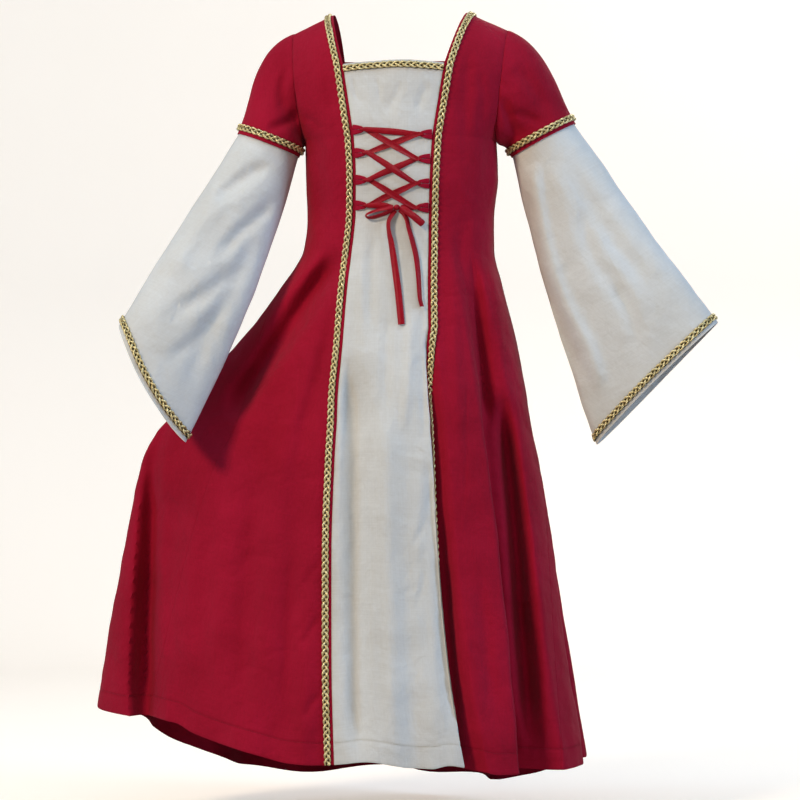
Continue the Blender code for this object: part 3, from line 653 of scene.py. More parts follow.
class Cloth:
    """A grid of cloth, in rows down it."""

    def __init__(
        self, points: Array, normals: Array, across: Array, along: Array, closed: bool = False
    ) -> None:
        """Starts with every cell shown and nothing sewn.

        Args:
            points: points of its outer face.
            normals: the outward direction at each.
            across: how far across the flat cloth each lies.
            along: how far down the flat cloth each lies.
            closed: whether it is a tube.
        """
        self.points, self.normals, self.across, self.along, self.closed = points, normals, across, along, closed
        self.shown = np.ones((points.shape[0] - 1, points.shape[1] - (0 if closed else 1)), bool)
        self.extra = np.zeros(points.shape[:-1])
        self.seam = np.zeros(points.shape[:-1])

    def press(self, depth: Array) -> None:
        """Moves the cloth in by a depth at each point."""
        self.points = self.points - self.normals * depth[..., None]

    def crease(self, drawn: Sequence[Crease], share: Array | float = 1.0) -> None:
        """Presses in creases, each straight back from its own view.

        Args:
            drawn: the creases.
            share: the share of their depth at each point.
        """
        moved = np.zeros_like(self.points)
        for one in drawn:
            moved -= (one.depth_at(self.points, self.normals) * share)[..., None] * one.view.value[1]
        self.points = self.points + moved

    def row(self, number: int) -> Route:
        """A row of it as a line."""
        return Route(self.points[number], self.normals[number])

    def wrapped(self, grid: Array) -> Array:
        """A grid with its first column again at its end, where the cloth is a tube."""
        return np.concatenate([grid, grid[:, :1]], 1) if self.closed else grid

    def mesh(self, name: str, material: Material) -> Object:
        """A closed shell, with its flat coordinates as UVs and its seams as an attribute.

        Args:
            name: its name.
            material: its material.

        Returns:
            The shell.
        """
        under = self.across.size
        quads = corners(self.wrapped(np.arange(under).reshape(self.across.shape)))[self.shown]
        flat = np.stack([self.wrapped(self.across), self.wrapped(self.along)], -1)
        if self.closed:
            flat[:, -1, 0] = self.total
        corner = corners(flat)[self.shown]
        edges = np.stack([quads, np.roll(quads, -1, 1)], -1).reshape(-1, 2)
        places = np.stack([corner, np.roll(corner, -1, 1)], -2).reshape(-1, 2, 2)
        key, back = edges[:, 0] * under + edges[:, 1], edges[:, 1] * under + edges[:, 0]
        rim = ~np.isin(key, back)
        e, p = edges[rim], places[rim]
        sides = np.stack([e[:, 1], e[:, 0], e[:, 0] + under, e[:, 1] + under], -1)
        faces = np.concatenate([quads, quads[:, ::-1] + under, sides])
        uvs = np.concatenate([corner, corner[:, ::-1], np.stack([p[:, 1], p[:, 0], p[:, 0], p[:, 1]], 1)])
        inner = self.points - self.normals * (SIZES.shell + self.extra)[..., None]
        points = np.concatenate([self.points.reshape(-1, 3), inner.reshape(-1, 3)])
        used, faces = np.unique(faces, return_inverse=True)
        made = new_mesh(name, points[used], faces.reshape(-1, 4), material)
        made.data.uv_layers.new(name="cut").data.foreach_set("uv", uvs.reshape(-1).astype(np.float32))
        worn = made.data.attributes.new("seam", "FLOAT", "POINT")
        worn.data.foreach_set("value", np.tile(self.seam.reshape(-1), 2)[used].astype(np.float32))
        return made


def new_mesh(name: str, points: Array, faces: Array, material: Material, flat: Array | None = None) -> Object:
    """A smooth-shaded mesh object.

    Args:
        name: its name.
        points: its points.
        faces: its faces, each with the same number of corners.
        material: its material.
        flat: the UV of each point, if it has one.

    Returns:
        The object, in the scene.
    """
    data = bpy.data.meshes.new(name)
    sides = faces.shape[1]
    data.vertices.add(len(points))
    data.vertices.foreach_set("co", points.reshape(-1).astype(np.float32))
    data.loops.add(faces.size)
    data.loops.foreach_set("vertex_index", faces.reshape(-1).astype(np.int32))
    data.polygons.add(len(faces))
    data.polygons.foreach_set("loop_start", np.arange(0, faces.size, sides, dtype=np.int32))
    data.update(calc_edges=True)
    data.validate()
    data.shade_smooth()
    data.set_sharp_from_angle(angle=math.radians(60))
    data.materials.append(material)
    if flat is not None:
        at = np.zeros(len(data.loops), np.int32)
        data.loops.foreach_get("vertex_index", at)
        data.uv_layers.new(name="cut").data.foreach_set("uv", flat[at].reshape(-1).astype(np.float32))
    return show(name, data)


def show(name: str, data: bpy.types.ID | None) -> Object:
    """A new object with this mesh, light or camera, in the scene.

    Args:
        name: its name.
        data: the mesh, light or camera.

    Returns:
        The object.
    """
    made = bpy.data.objects.new(name, data)
    bpy.context.scene.collection.objects.link(made)
    return made


EDGE = (0, 0.0006, 0.0013, 0.0022, 0.0036, 0.006)
BRAIDED = (0, 0.0006, 0.0013, 0.0022, 0.0032, 0.0058, 0.00845, 0.0111, 0.0137, 0.0165, 0.020)
BRAID_COLUMN = 6
BACK_BRAIDED = (0, 0.0022, 0.0032, 0.00845, 0.0137, 0.018)
BACK_BRAID_COLUMN = 3
FINE = 360


def strip(
    left: Line, right: Line, level: Array, near_left: Sequence[float], near_right: Sequence[float], cells: int
) -> Cloth:
    """A panel of the body between two lines, with even columns of cloth.

    Args:
        left: the line along its first column.
        right: the line along its last column.
        level: the level of each row.
        near_left: distances of the first columns from the first one.
        near_right: distances of the last columns from the last one.
        cells: columns of cells between those.

    Returns:
        The cloth, with each point's angle, level and distance from both edges.
    """
    start, end = left(level), right(level)
    fine = start[:, None] + (end - start)[:, None] * np.linspace(0, 1, FINE)
    run = run_along(FORM.point(fine, np.repeat(level[:, None], FINE, 1)), 1)
    width = run[:, -1:]
    a, b = np.array(near_left), np.array(near_right)[::-1]
    inner = a[-1] + (width - a[-1] - b[0]) * np.linspace(0, 1, cells + 1)[1:-1]
    at = np.concatenate([np.repeat(a[None], len(level), 0), inner, width - b], 1)
    angle = np.stack([np.interp(at[i], run[i], fine[i]) for i in range(len(level))])
    rows = np.repeat(level[:, None], angle.shape[1], 1)
    points = FORM.point(angle, rows)
    along = run_along(points[:, points.shape[1] // 2])
    cloth = Cloth(points, FORM.normal(angle, rows), at - width / 2, np.repeat(along[:, None], at.shape[1], 1))
    cloth.angle, cloth.level, cloth.from_left, cloth.from_right = angle, rows, at, width - at
    return cloth


YOKE_TOP, YOKE_TOP_ROWS, YOKE_ROWS = 0.16, 14, 46
SKIRT_ROWS, ROW_ROOM = 196, 0.002
HEM_FOLD_ROWS = (0.036, 0.033, 0.0315, 0.030, 0.0285, 0.027)
HEM_ROWS = (*HEM_FOLD_ROWS, 0.022, 0.017, 0.012, 0.008, 0.005, 0.003, 0.0015, 0.0006, 0)


def body_levels() -> Array:
    """The rows of a body panel: closer at the shoulder, at the panel's top and at the hem.

    Returns:
        The level of each row.
    """
    top = np.linspace(0, 1, YOKE_TOP_ROWS)[:-1] ** 2 * YOKE_TOP
    marks = [SIZES.back_neck, SIZES.back_neck + SIZES.braid_margin / SIZES.underarm]
    marks += [SIZES.panel_top, SIZES.panel_top + SIZES.braid_width / SIZES.underarm]
    yoke = np.sort(np.concatenate([top, np.linspace(YOKE_TOP, 1, YOKE_ROWS), marks]))
    hem = 1 - np.array(HEM_ROWS) / (HEM.at("drop", FRONT) - SIZES.underarm)
    skirt = np.linspace(0, 1, SKIRT_ROWS)[1:]
    return np.concatenate([yoke - 1, skirt[skirt < hem[0] - ROW_ROOM], hem])


LEVELS = body_levels()


@dataclass(frozen=True)
class Sleeve:
    """A sleeve's corner points, half depths, bulges, and how far its cuff bows and trails behind."""

    side: int
    word: str
    hem_outer: tuple[float, float, float]
    hem_inner: tuple[float, float, float]
    cuff_outer: tuple[float, float, float]
    cuff_inner: tuple[float, float, float]
    hem_half: float
    cuff_half: float
    bulge_outer: float
    bulge_inner: float
    bow: float
    trail: float


SLEEVES = (
    Sleeve(
        side=-1,
        word="left",
        hem_outer=(-0.2370, -0.004, -0.1745),
        hem_inner=(-0.1470, -0.004, -0.2090),
        cuff_outer=(-0.3970, -0.110, -0.4540),
        cuff_inner=(-0.3000, -0.150, -0.6190),
        hem_half=0.047,
        cuff_half=0.062,
        bulge_outer=0.001,
        bulge_inner=0.013,
        bow=0.015,
        trail=0.004,
    ),
    Sleeve(
        side=1,
        word="right",
        hem_outer=(0.2527, -0.004, -0.1600),
        hem_inner=(0.1600, -0.004, -0.2090),
        cuff_outer=(0.4480, -0.105, -0.4500),
        cuff_inner=(0.2780, -0.085, -0.6230),
        hem_half=0.048,
        cuff_half=0.044,
        bulge_outer=-0.003,
        bulge_inner=0.008,
        bow=-0.002,
        trail=0.006,
    ),
)
CAP_REACH, CAP_FALL, BAND_REACH = 0.42, 0.40, 0.3
NARROWING, NARROW_TIP = 0.45, 0.9
TUCK, BELL_START = 0.006, 0.001
ARMHOLE_ROWS = (0, 0.006, 0.014, 0.026, 0.045, *np.linspace(0.07, 1, 34))
BAND_ROWS = (0.0125, 0.00975, 0.007, 0.0045, 0.003, 0.0018, 0.0008, 0)
BAND_BRAID_ROW = -7
CUFF_ROWS = (0.018, 0.015, *BAND_ROWS)
BELL_ROWS = 95


def ring_normals(rings: Array) -> Array:
    """Outward directions of closed rings.

    Args:
        rings: points, one ring a row.

    Returns:
        A direction for each point.
    """
    along = np.roll(rings, -1, 1) - np.roll(rings, 1, 1)
    normals = unit(np.cross(along, np.gradient(rings, axis=0)))
    outward = (normals * (rings - rings.mean(axis=1, keepdims=True))).sum(axis=(1, 2))
    return normals * np.sign(outward)[:, None, None]


class SleeveForm:
    """A set-in sleeve that ends in a straight band, and the bell that hangs from inside it."""

    def __init__(self, cut: Sleeve) -> None:
        """Finds the armhole's edge, and how far round it each point lies.

        Args:
            cut: the sleeve's sizes.
        """
        self.cut = cut
        self.hem = [np.array(cut.hem_outer), np.array(cut.hem_inner)]
        self.cuff = [np.array(cut.cuff_outer), np.array(cut.cuff_inner)]
        self.across = unit(self.hem[0] - self.hem[1])
        self.arm = unit(np.cross((0, cut.side, 0), self.across))
        down = LEVELS[LEVELS <= 1e-9]
        up = down[-2:0:-1]
        angle = np.concatenate([FORM.side(cut.side)(down), FORM.side(cut.side, True)(up)])
        level = np.concatenate([down, up])
        self.seam, self.body_normals = FORM.point(angle, level), FORM.normal(angle, level)
        half = len(self.seam) // 2
        step = np.linalg.norm(np.roll(self.seam, -1, 0) - self.seam, axis=1)
        front, back = np.cumsum(step[:half]), np.cumsum(step[half:])
        self.turns = np.concatenate([[0], front / front[-1], 1 + back[:-1] / back[-1]]) * math.pi

    def ring(self, shrink: float, along: float) -> Array:
        """A ring round the arm at the hem, drawn in and moved along the arm.

        Args:
            shrink: how far it is drawn in.
            along: how far along the arm.

        Returns:
            Its points.
        """
        centre = (self.hem[0] + self.hem[1]) / 2 + self.arm * along
        long = np.linalg.norm(self.hem[0] - self.hem[1]) / 2 - shrink
        deep = (self.cut.hem_half - shrink) * np.array((0, 1, 0))
        return centre + np.cos(self.turns)[:, None] * self.across * long - np.sin(self.turns)[:, None] * deep

    def bell_ring(self, share: Array | float) -> Array:
        """The bell from the red sleeve's hem (share 0) to the cuff (share 1).

        Args:
            share: shares of the way down.

        Returns:
            A ring of points.
        """
        s = np.broadcast_to(share, self.turns.shape)[:, None]
        shrink = SIZES.cloth + SIZES.gap
        bulge = self.across * np.sin(math.pi * s)
        outer = (self.hem[0] - self.across * shrink) * (1 - s) + self.cuff[0] * s + bulge * self.cut.bulge_outer
        inner = (self.hem[1] + self.across * shrink) * (1 - s) + self.cuff[1] * s - bulge * self.cut.bulge_inner
        half = (self.cut.hem_half - shrink) * (1 - s) + self.cut.cuff_half * s
        cos, sin = np.cos(self.turns)[:, None], np.sin(self.turns)[:, None]
        half = half * (1 - NARROWING * s / 2 + NARROWING * s * cos * NARROW_TIP)
        fall = unit(self.cuff[0] + self.cuff[1] - self.hem[0] - self.hem[1])
        edge = fall * s**3 * (self.cut.bow * sin**2 - self.cut.trail * sin)
        start = self.arm * BELL_START * (1 - s)
        return (outer + inner) / 2 + (outer - inner) / 2 * cos - half * sin * np.array((0, 1, 0)) + edge + start

    def red(self) -> Cloth:
        """The red sleeve, from the armhole to its hem.

        Returns:
            Its cloth.
        """
        start, end = self.seam, self.ring(0, -SIZES.hem_margin - SIZES.braid_width)
        top = (1 + np.cos(self.turns))[:, None] / 2
        pull = unit(unit(np.array((self.cut.side, 0, -CAP_FALL))) * top + self.arm * (1 - top))
        span = np.linalg.norm(end - start, axis=1)[:, None]
        controls = start, start + pull * span * CAP_REACH, end - self.arm * span * BAND_REACH, end
        share = np.array(ARMHOLE_ROWS)[:, None, None]
        weights = (1 - share) ** 3, 3 * share * (1 - share) ** 2, 3 * share**2 * (1 - share), share**3
        rings = sum(weight * control for weight, control in zip(weights, controls))
        return self.tube(np.concatenate([rings, [self.ring(0, -metres) for metres in BAND_ROWS]]))

    def bell(self) -> Cloth:
        """The bell, whose cuff has rows for the braid.

        Returns:
            Its cloth.
        """
        cuff, before = self.bell_ring(1.0), self.bell_ring(0.98)
        fall, along = unit(cuff - before), unit(np.roll(cuff, -1, 0) - np.roll(cuff, 1, 0))
        slant = np.linalg.norm(np.cross(fall, along), axis=1)
        length = np.linalg.norm(cuff - self.bell_ring(0.0), axis=1)
        last = 1 - CUFF_ROWS[0] / slant / length
        rings = [self.ring(SIZES.cloth + SIZES.gap, -TUCK)]
        rings += [self.bell_ring(last * s) for s in np.linspace(0, 1, BELL_ROWS + 1)[:-1]]
        rings += [self.bell_ring(1 - metres / slant / length) for metres in CUFF_ROWS]
        return self.tube(np.array(rings))

    def tube(self, rings: Array) -> Cloth:
        """Closed rings as cloth, with its seam below the arm.

        Args:
            rings: points, one ring a row.

        Returns:
            The cloth, with its girth and how far round it each point is from its seam.
        """
        rings = np.roll(rings, -(len(self.turns) // 2), 1)
        around, down = run_along(np.concatenate([rings, rings[:, :1]], 1), 1), run_along(rings)
        cloth = Cloth(rings, ring_normals(rings), around[:, :-1], down, closed=True)
        cloth.total = around[:, -1]
        cloth.round = np.minimum(around[:, :-1], around[:, -1:] - around[:, :-1])
        return cloth


@dataclass(frozen=True)
class Linen:
    """How a woven linen looks: colours in linear light, thread pitch in metres, and how uneven it is."""

    name: str
    colour: tuple[float, float, float]
    deep: tuple[float, float, float]
    light: tuple[float, float, float]
    pitch: float
    slub: float
    sheen: float
    roughness: float


RED_LINEN = Linen(
    name="red_linen",
    colour=(0.29, 0.0030, 0.0185),
    deep=(0.195, 0.0012, 0.011),
    light=(0.37, 0.0055, 0.030),
    pitch=0.00085,
    slub=0.30,
    sheen=0.03,
    roughness=0.90,
)
PALE_LINEN = Linen(
    name="natural_linen",
    colour=(0.565, 0.555, 0.535),
    deep=(0.47, 0.445, 0.405),
    light=(0.65, 0.65, 0.64),
    pitch=0.00085,
    slub=0.32,
    sheen=0.04,
    roughness=0.92,
)


@dataclass(frozen=True)
class Thread:
    """How a thread or ribbon looks; deep is its colour between its ridges, a painted shade."""

    name: str
    colour: tuple[float, float, float]
    deep: tuple[float, float, float]
    roughness: float
    metallic: float
    ridges: float


GOLD = Thread("gold_braid", (0.95, 0.80, 0.44), (0.34, 0.22, 0.06), 0.30, 0.60, 26.0)
# A nearly black sheet under the plait: painted shade for the gaps between its strands.
PLAIT_GAP_SHADE = Thread("gold_braid_base", (0.07, 0.045, 0.015), (0.03, 0.018, 0.006), 0.7, 0.1, 40.0)
SATIN = Thread("red_satin", (0.34, 0.002, 0.012), (0.20, 0.001, 0.006), 0.34, 0.0, 90.0)
RED_THREAD = Thread("red_thread", (0.30, 0.012, 0.030), (0.18, 0.005, 0.015), 0.6, 0.0, 6.0)
PALE_THREAD = Thread("pale_thread", (0.62, 0.60, 0.54), (0.45, 0.43, 0.38), 0.6, 0.0, 6.0)


class Tree:
    """Adds and links nodes of a material, a shader group or a geometry tree."""

    def __init__(self, tree: bpy.types.NodeTree) -> None:
        """Takes the tree that nodes are added to."""
        self.tree = tree
        self.count = 0

    def feed(self, node: bpy.types.Node, inputs: dict) -> None:
        """Links or sets inputs of a node, given by name or index.

        Args:
            node: the node.
            inputs: a socket or a value for each input.
        """
        for key, value in inputs.items():
            if isinstance(value, Socket):
                self.tree.links.new(value, node.inputs[key])
            else:
                node.inputs[key].default_value = value

    def add(self, kind: str, **settings: object) -> bpy.types.Node:
        """A node with its properties, and its inputs by name or index under `inputs`.

        Args:
            kind: its type.
            settings: its properties, and under `inputs` what feed takes.

        Returns:
            The node.
        """
        node = self.tree.nodes.new(kind)
        node.location = (self.count % 12 * 190, -(self.count // 12) * 260)
        self.count += 1
        inputs = settings.pop("inputs", {})
        for key, value in settings.items():
            setattr(node, key, value)
        self.feed(node, inputs)
        return node

    def math(self, operation: str, a: object, b: object = 0.0, clamp: bool = False) -> Socket:
        """The result of a math node."""
        return self.add("ShaderNodeMath", operation=operation, use_clamp=clamp, inputs={0: a, 1: b}).outputs[0]

    def mix(self, factor: object, a: object, b: object) -> Socket:
        """The result of a colour mix.

        Args:
            factor: the share of the second.
            a: a colour or socket.
            b: another.

        Returns:
            Its socket.
        """
        ends = [value if isinstance(value, Socket) else (*value, 1.0) for value in (a, b)]
        made = self.add("ShaderNodeMix", data_type="RGBA", inputs={0: factor, 6: ends[0], 7: ends[1]})
        return made.outputs[2]

    def noise(self, place: Socket, scale: float, detail: float = 2.0, distortion: float = 0.0) -> Socket:
        """The value of a noise texture."""
        inputs = {"Vector": place, "Scale": scale, "Detail": detail, "Distortion": distortion}
        return self.add("ShaderNodeTexNoise", inputs=inputs).outputs["Fac"]

    def span(self, value: Socket, start: float, end: float, low: float = 0.0, high: float = 1.0) -> Socket:
        """A value moved from the span of start to end into the span of low to high, and kept in it."""
        return self.add("ShaderNodeMapRange", inputs={0: value, 1: start, 2: end, 3: low, 4: high}).outputs[0]

    def bump(self, height: Socket, strength: float, distance: float, under: Socket | None = None) -> Socket:
        """Normals of a relief, on top of those of another one if it is given.

        Args:
            height: its height.
            strength: its strength.
            distance: its depth in metres.
            under: the normals of the other one.

        Returns:
            Its socket.
        """
        inputs = {"Height": height, "Strength": strength, "Distance": distance}
        if under is not None:
            inputs["Normal"] = under
        return self.add("ShaderNodeBump", inputs=inputs).outputs[0]


def weave_group() -> bpy.types.NodeTree:
    """A plain weave of uneven threads: its height, and a mask of light and dark threads.

    Returns:
        A shader group that takes UVs and threads a metre.
    """
    group = bpy.data.node_groups.new("weave", "ShaderNodeTree")
    face = group.interface
    face.new_socket("UV", in_out="INPUT", socket_type="NodeSocketVector")
    face.new_socket("Threads", in_out="INPUT", socket_type="NodeSocketFloat")
    face.new_socket("Height", in_out="OUTPUT", socket_type="NodeSocketFloat")
    face.new_socket("Slub", in_out="OUTPUT", socket_type="NodeSocketFloat")
    t = Tree(group)
    given, out = t.add("NodeGroupInput"), t.add("NodeGroupOutput")
    parts = t.add("ShaderNodeSeparateXYZ", inputs={0: given.outputs["UV"]})
    u, v = (t.math("MULTIPLY", parts.outputs[i], given.outputs["Threads"]) for i in (0, 1))
    waves = [t.math("SINE", t.math("MULTIPLY", x, math.pi)) for x in (u, v)]
    cells = t.math("MULTIPLY", waves[0], waves[1])
    slubs = []
    for wide, long in ((0.9, 0.016), (0.014, 0.8)):
        stretched = t.math("MULTIPLY", u, wide), t.math("MULTIPLY", v, long)
        place = t.add("ShaderNodeCombineXYZ", inputs=dict(enumerate(stretched)))
        inputs = {"Vector": place.outputs[0], "Scale": 1.0, "Detail": 2.0, "Roughness": 0.6}
        slubs.append(t.add("ShaderNodeTexNoise", noise_dimensions="2D", inputs=inputs).outputs["Fac"])
    slub = t.math("MULTIPLY", t.math("ADD", slubs[0], slubs[1]), 0.5)
    thick = t.math("MULTIPLY", t.math("ABSOLUTE", cells), 0.5)
    t.feed(out, {"Height": t.math("ADD", thick, t.math("MULTIPLY", slub, 0.9)), "Slub": slub})
    return group


def new_material(name: str) -> tuple[Material, Tree, bpy.types.Node]:
    """A material, its tree of nodes and its shader.

    Args:
        name: its name.

    Returns:
        All three.
    """
    made = bpy.data.materials.new(name)
    made.use_nodes = True
    return made, Tree(made.node_tree), made.node_tree.nodes["Principled BSDF"]


def linen(look: Linen, weave: bpy.types.NodeTree) -> Material:
    """Woven linen: threads, slubs, soft patches of colour, and darker seams.

    Args:
        look: its colours and numbers.
        weave: the shared group of the weave.

    Returns:
        The material.
    """
    made, t, shader = new_material(look.name)
    uv = t.add("ShaderNodeUVMap", uv_map="cut").outputs[0]
    place = t.add("ShaderNodeTexCoord").outputs["Object"]
    seam = t.add("ShaderNodeAttribute", attribute_name="seam").outputs["Fac"]
    threads = t.add("ShaderNodeGroup", node_tree=weave, inputs={"UV": uv, "Threads": 1 / look.pitch}).outputs
    slub = t.span(threads["Slub"], 0.38, 0.62)
    patches = t.span(t.noise(place, 9.0, 3.0), 0.3, 0.7)
    tone = t.math("ADD", t.math("MULTIPLY", slub, look.slub), t.math("MULTIPLY", patches, 1 - look.slub))
    grain = t.math("MULTIPLY", t.math("SUBTRACT", t.noise(place, 260.0), 0.5), 0.5)
    tone = t.math("ADD", tone, grain, clamp=True)
    colour = t.mix(0.45, t.mix(tone, look.deep, look.light), look.colour)
    swelling = t.bump(t.noise(place, 13.0, 2.0, 0.6), 0.40, 0.014)
    wrinkles = t.bump(t.noise(place, 38.0, 4.0, 0.4), 0.40, 0.006, swelling)
    looks = {
        "Base Color": t.mix(t.math("MULTIPLY", seam, 0.55), colour, look.deep),
        "Roughness": t.span(threads["Slub"], 0, 1, look.roughness - 0.06, look.roughness + 0.06),
        "Sheen Weight": look.sheen,
        "Sheen Roughness": 0.5,
        "Specular IOR Level": 0.10,
        "Normal": t.bump(threads["Height"], 0.45, 0.00035, wrinkles),
    }
    t.feed(shader, looks)
    return made


def thread(look: Thread) -> Material:
    """Thread, braid or ribbon: fine ridges across its length, with painted shade that darkens the colour between
    them.

    Args:
        look: its colours and numbers.

    Returns:
        The material.
    """
    made, t, shader = new_material(look.name)
    uv = t.add("ShaderNodeUVMap", uv_map="cut").outputs[0]
    parts = t.add("ShaderNodeSeparateXYZ", inputs={0: uv})
    turn = t.math("ADD", t.math("MULTIPLY", parts.outputs[1], look.ridges), parts.outputs[0])
    ridge = t.math("ABSOLUTE", t.math("SINE", t.math("MULTIPLY", turn, math.pi)))
    patch = t.noise(t.add("ShaderNodeTexCoord").outputs["Object"], 180.0)
    # Colour darker between the ridges and lighter on them: painted shade, with random patches of tone on top.
    tone = t.math("ADD", t.math("MULTIPLY", ridge, 0.7), t.math("SUBTRACT", patch, 0.4), clamp=True)
    looks = {
        "Base Color": t.mix(tone, look.deep, look.colour),
        "Roughness": t.span(patch, 0, 1, look.roughness - 0.06, look.roughness + 0.10),
        "Metallic": look.metallic,
        "Specular IOR Level": 0.14,
        "Normal": t.bump(ridge, 0.5, 0.0002),
    }
    t.feed(shader, looks)
    return made


class Repeater:
    """Repeats a small piece along a row of places with Geometry Nodes."""

    def __init__(self, name: str) -> None:
        """Builds the tree under this name.

        Args:
            name: the name.
        """
        self.group = bpy.data.node_groups.new(name, "GeometryNodeTree")
        face = self.group.interface
        face.new_socket("Places", in_out="INPUT", socket_type="NodeSocketGeometry")
        self.piece = face.new_socket("Piece", in_out="INPUT", socket_type="NodeSocketObject").identifier
        self.finish = face.new_socket("Finish", in_out="INPUT", socket_type="NodeSocketMaterial").identifier
        face.new_socket("Pieces", in_out="OUTPUT", socket_type="NodeSocketGeometry")
        t = Tree(self.group)
        given, out = t.add("NodeGroupInput"), t.add("NodeGroupOutput")
        heading, lay, stretch = (
            t.add("GeometryNodeInputNamedAttribute", data_type="FLOAT_VECTOR", inputs={"Name": key}).outputs[0]
            for key in ("heading", "lay", "stretch")
        )
        up = t.add("FunctionNodeAlignRotationToVector", axis="Z", inputs={"Vector": lay}).outputs[0]
        inputs = {"Rotation": up, "Vector": heading}
        turn = t.add("FunctionNodeAlignRotationToVector", axis="X", pivot_axis="Z", inputs=inputs).outputs[0]
        piece = t.add("GeometryNodeObjectInfo", inputs={"Object": given.outputs["Piece"]}).outputs["Geometry"]
        inputs = {"Points": given.outputs["Places"], "Instance": piece, "Rotation": turn, "Scale": stretch}
        put = t.add("GeometryNodeInstanceOnPoints", inputs=inputs).outputs[0]
        real = t.add("GeometryNodeRealizeInstances", inputs={"Geometry": put}).outputs[0]
        done = t.add("GeometryNodeSetMaterial", inputs={"Geometry": real, "Material": given.outputs["Finish"]})
        t.feed(out, {0: done.outputs[0]})

    def along(
        self, name: str, piece: Object, finish: Material, route: Route, pitch: float, closed: bool = False
    ) -> Object:
        """The piece repeated along a route.

        Args:
            name: the name of the result.
            piece: what is repeated; its length lies along X.
            finish: its material.
            route: the route on the cloth.
            pitch: about how far one is from the next.
            closed: whether the route is a ring.

        Returns:
            All of them as one mesh.
        """
        places, heading, lay, stretch = route.places(pitch, closed)
        data = bpy.data.meshes.new(f"{name}_places")
        data.from_pydata(places.tolist(), [], [])
        for key, value in (("heading", heading), ("lay", lay), ("stretch", stretch)):
            attribute = data.attributes.new(key, "FLOAT_VECTOR", "POINT")
            attribute.data.foreach_set("vector", value.reshape(-1).astype(np.float32))
        carrier = show(f"{name}_places", data)
        modifier = carrier.modifiers.new("repeat", "NODES")
        modifier.node_group = self.group
        modifier[self.piece] = piece
        modifier[self.finish] = finish
        bpy.context.view_layer.update()
        real = bpy.data.meshes.new_from_object(carrier.evaluated_get(bpy.context.evaluated_depsgraph_get()))
        real.name = name
        carrier.modifiers.remove(modifier)
        bpy.data.objects.remove(carrier)
        real.materials.clear()
        real.materials.append(finish)
        real.shade_smooth()
        return show(name, real)


@dataclass
class Route:
    """A line on the cloth with the cloth's outward directions."""

    points: Array
    normals: Array

    def lifted(self, metres: float) -> Route:
        """The same line, moved out."""
        return Route(self.points + self.normals * metres, self.normals)

    def places(self, pitch: float, closed: bool) -> tuple[Array, Array, Array, Array]:
        """Middle points of equal steps.

        Args:
            pitch: about how long a step is.
            closed: whether the line is a ring.

        Returns:
            The points, the way each heads, the way it faces, and its stretch.
        """
        again = slice(0, 1 if closed else 0)
        points, normals = (np.concatenate([v, v[again]]) for v in (self.points, self.normals))
        run = run_along(points)
        edge = np.linspace(0, run[-1], max(1, round(run[-1] / pitch)) + 1)
        ends = np.stack([np.interp(edge, run, column) for column in points.T], -1)
        middle = (edge[1:] + edge[:-1]) / 2
        lay = unit(np.stack([np.interp(middle, run, column) for column in normals.T], -1))
        step = np.diff(ends, axis=0)
        stretch = np.ones_like(step)
        stretch[:, 0] = np.linalg.norm(step, axis=1) / pitch
        return (ends[1:] + ends[:-1]) / 2, unit(step), lay, stretch


RIBBON_SIDES = np.array([-0.5, -0.47, -0.36, -0.18, 0, 0.18, 0.36, 0.47, 0.5])
RIBBON_REPEAT = 0.0095


def ribbon(
    name: str,
    route: Route,
    widths: Array,
    thickness: float,
    material: Material,
    axes: Array | None = None,
    closed: bool = False,
    crown: float = 0.0,
) -> Object:
    """A ribbon with rounded edges along a route.

    Args:
        name: its name.
        route: its middle line.
        widths: its width at each point.
        thickness: its thickness.
        material: its material.
        axes: the direction of its width at each point, or None to lie flat on the cloth.
        closed: whether its line is a ring.
        crown: how far its middle stands out, as a share of its width.

    Returns:
        The ribbon.
    """
    points = route.points
    heading = unit(np.roll(points, -1, 0) - np.roll(points, 1, 0) if closed else np.gradient(points, axis=0))
    if axes is None:
        axes = np.cross(route.normals, heading)
    axes = unit(axes - (axes * heading).sum(1, keepdims=True) * heading)
    out = np.cross(heading, axes)
    rise = np.sqrt(np.clip(1 - (np.abs(RIBBON_SIDES) * 2) ** 6, 0, 1)) / 2
    bow = crown * (1 - (RIBBON_SIDES * 2) ** 2)
    upper, lower = (np.stack([RIBBON_SIDES, way * rise, bow], -1) for way in (1, -1))
    ring = np.concatenate([upper, lower[-2:0:-1]])
    width = widths[:, None, None]
    offset = axes[:, None] * ring[None, :, :1] * width
    offset = offset + out[:, None] * (ring[None, :, 1:2] * thickness + ring[None, :, 2:] * width)
    rows, columns = len(points), len(ring)
    faces = grid_faces(rows, columns, onward=closed)
    if not closed:
        caps = []
        for row in (np.arange(columns), (rows * columns - 1 - np.arange(columns))):
            for i in range(columns // 2):
                caps.append((row[i], row[i + 1], row[columns - 1 - i], row[(columns - i) % columns]))
        faces = np.concatenate([faces, [cap for cap in caps if len(set(cap)) == 4]])
    flat = np.stack([np.tile(ring[:, 0], rows), np.repeat(run_along(points), columns) / RIBBON_REPEAT], -1)
    return new_mesh(name, (points[:, None] + offset).reshape(-1, 3), faces, material, flat)


def on_front(across: Array, drop: Array, lift: Array) -> Array:
    """Points over the front.

    Args:
        across: how far from the middle plane, before the body's turn.
        drop: how far below the origin.
        lift: how far out of the cloth.

    Returns:
        The points.
    """
    across, drop, lift = (np.asarray(v, float) for v in (across, drop, lift))
    hem = HEM.at("drop", FRONT)
    below = (drop - SIZES.underarm) / (hem - SIZES.underarm)
    level = np.where(drop < SIZES.underarm, drop / SIZES.underarm - 1, below)
    angle = FORM.front_angle(across, level)
    return FORM.point(angle, level) + FORM.normal(angle, level) * lift[..., None]


def over_front(across: Array, drop: Array, lift: Array) -> Route:
    """A line over the front, with the outward direction at each point, from what on_front takes."""
    points = on_front(across, drop, lift)
    return Route(points, unit(on_front(across, drop, lift + LIFT_STEP) - points))


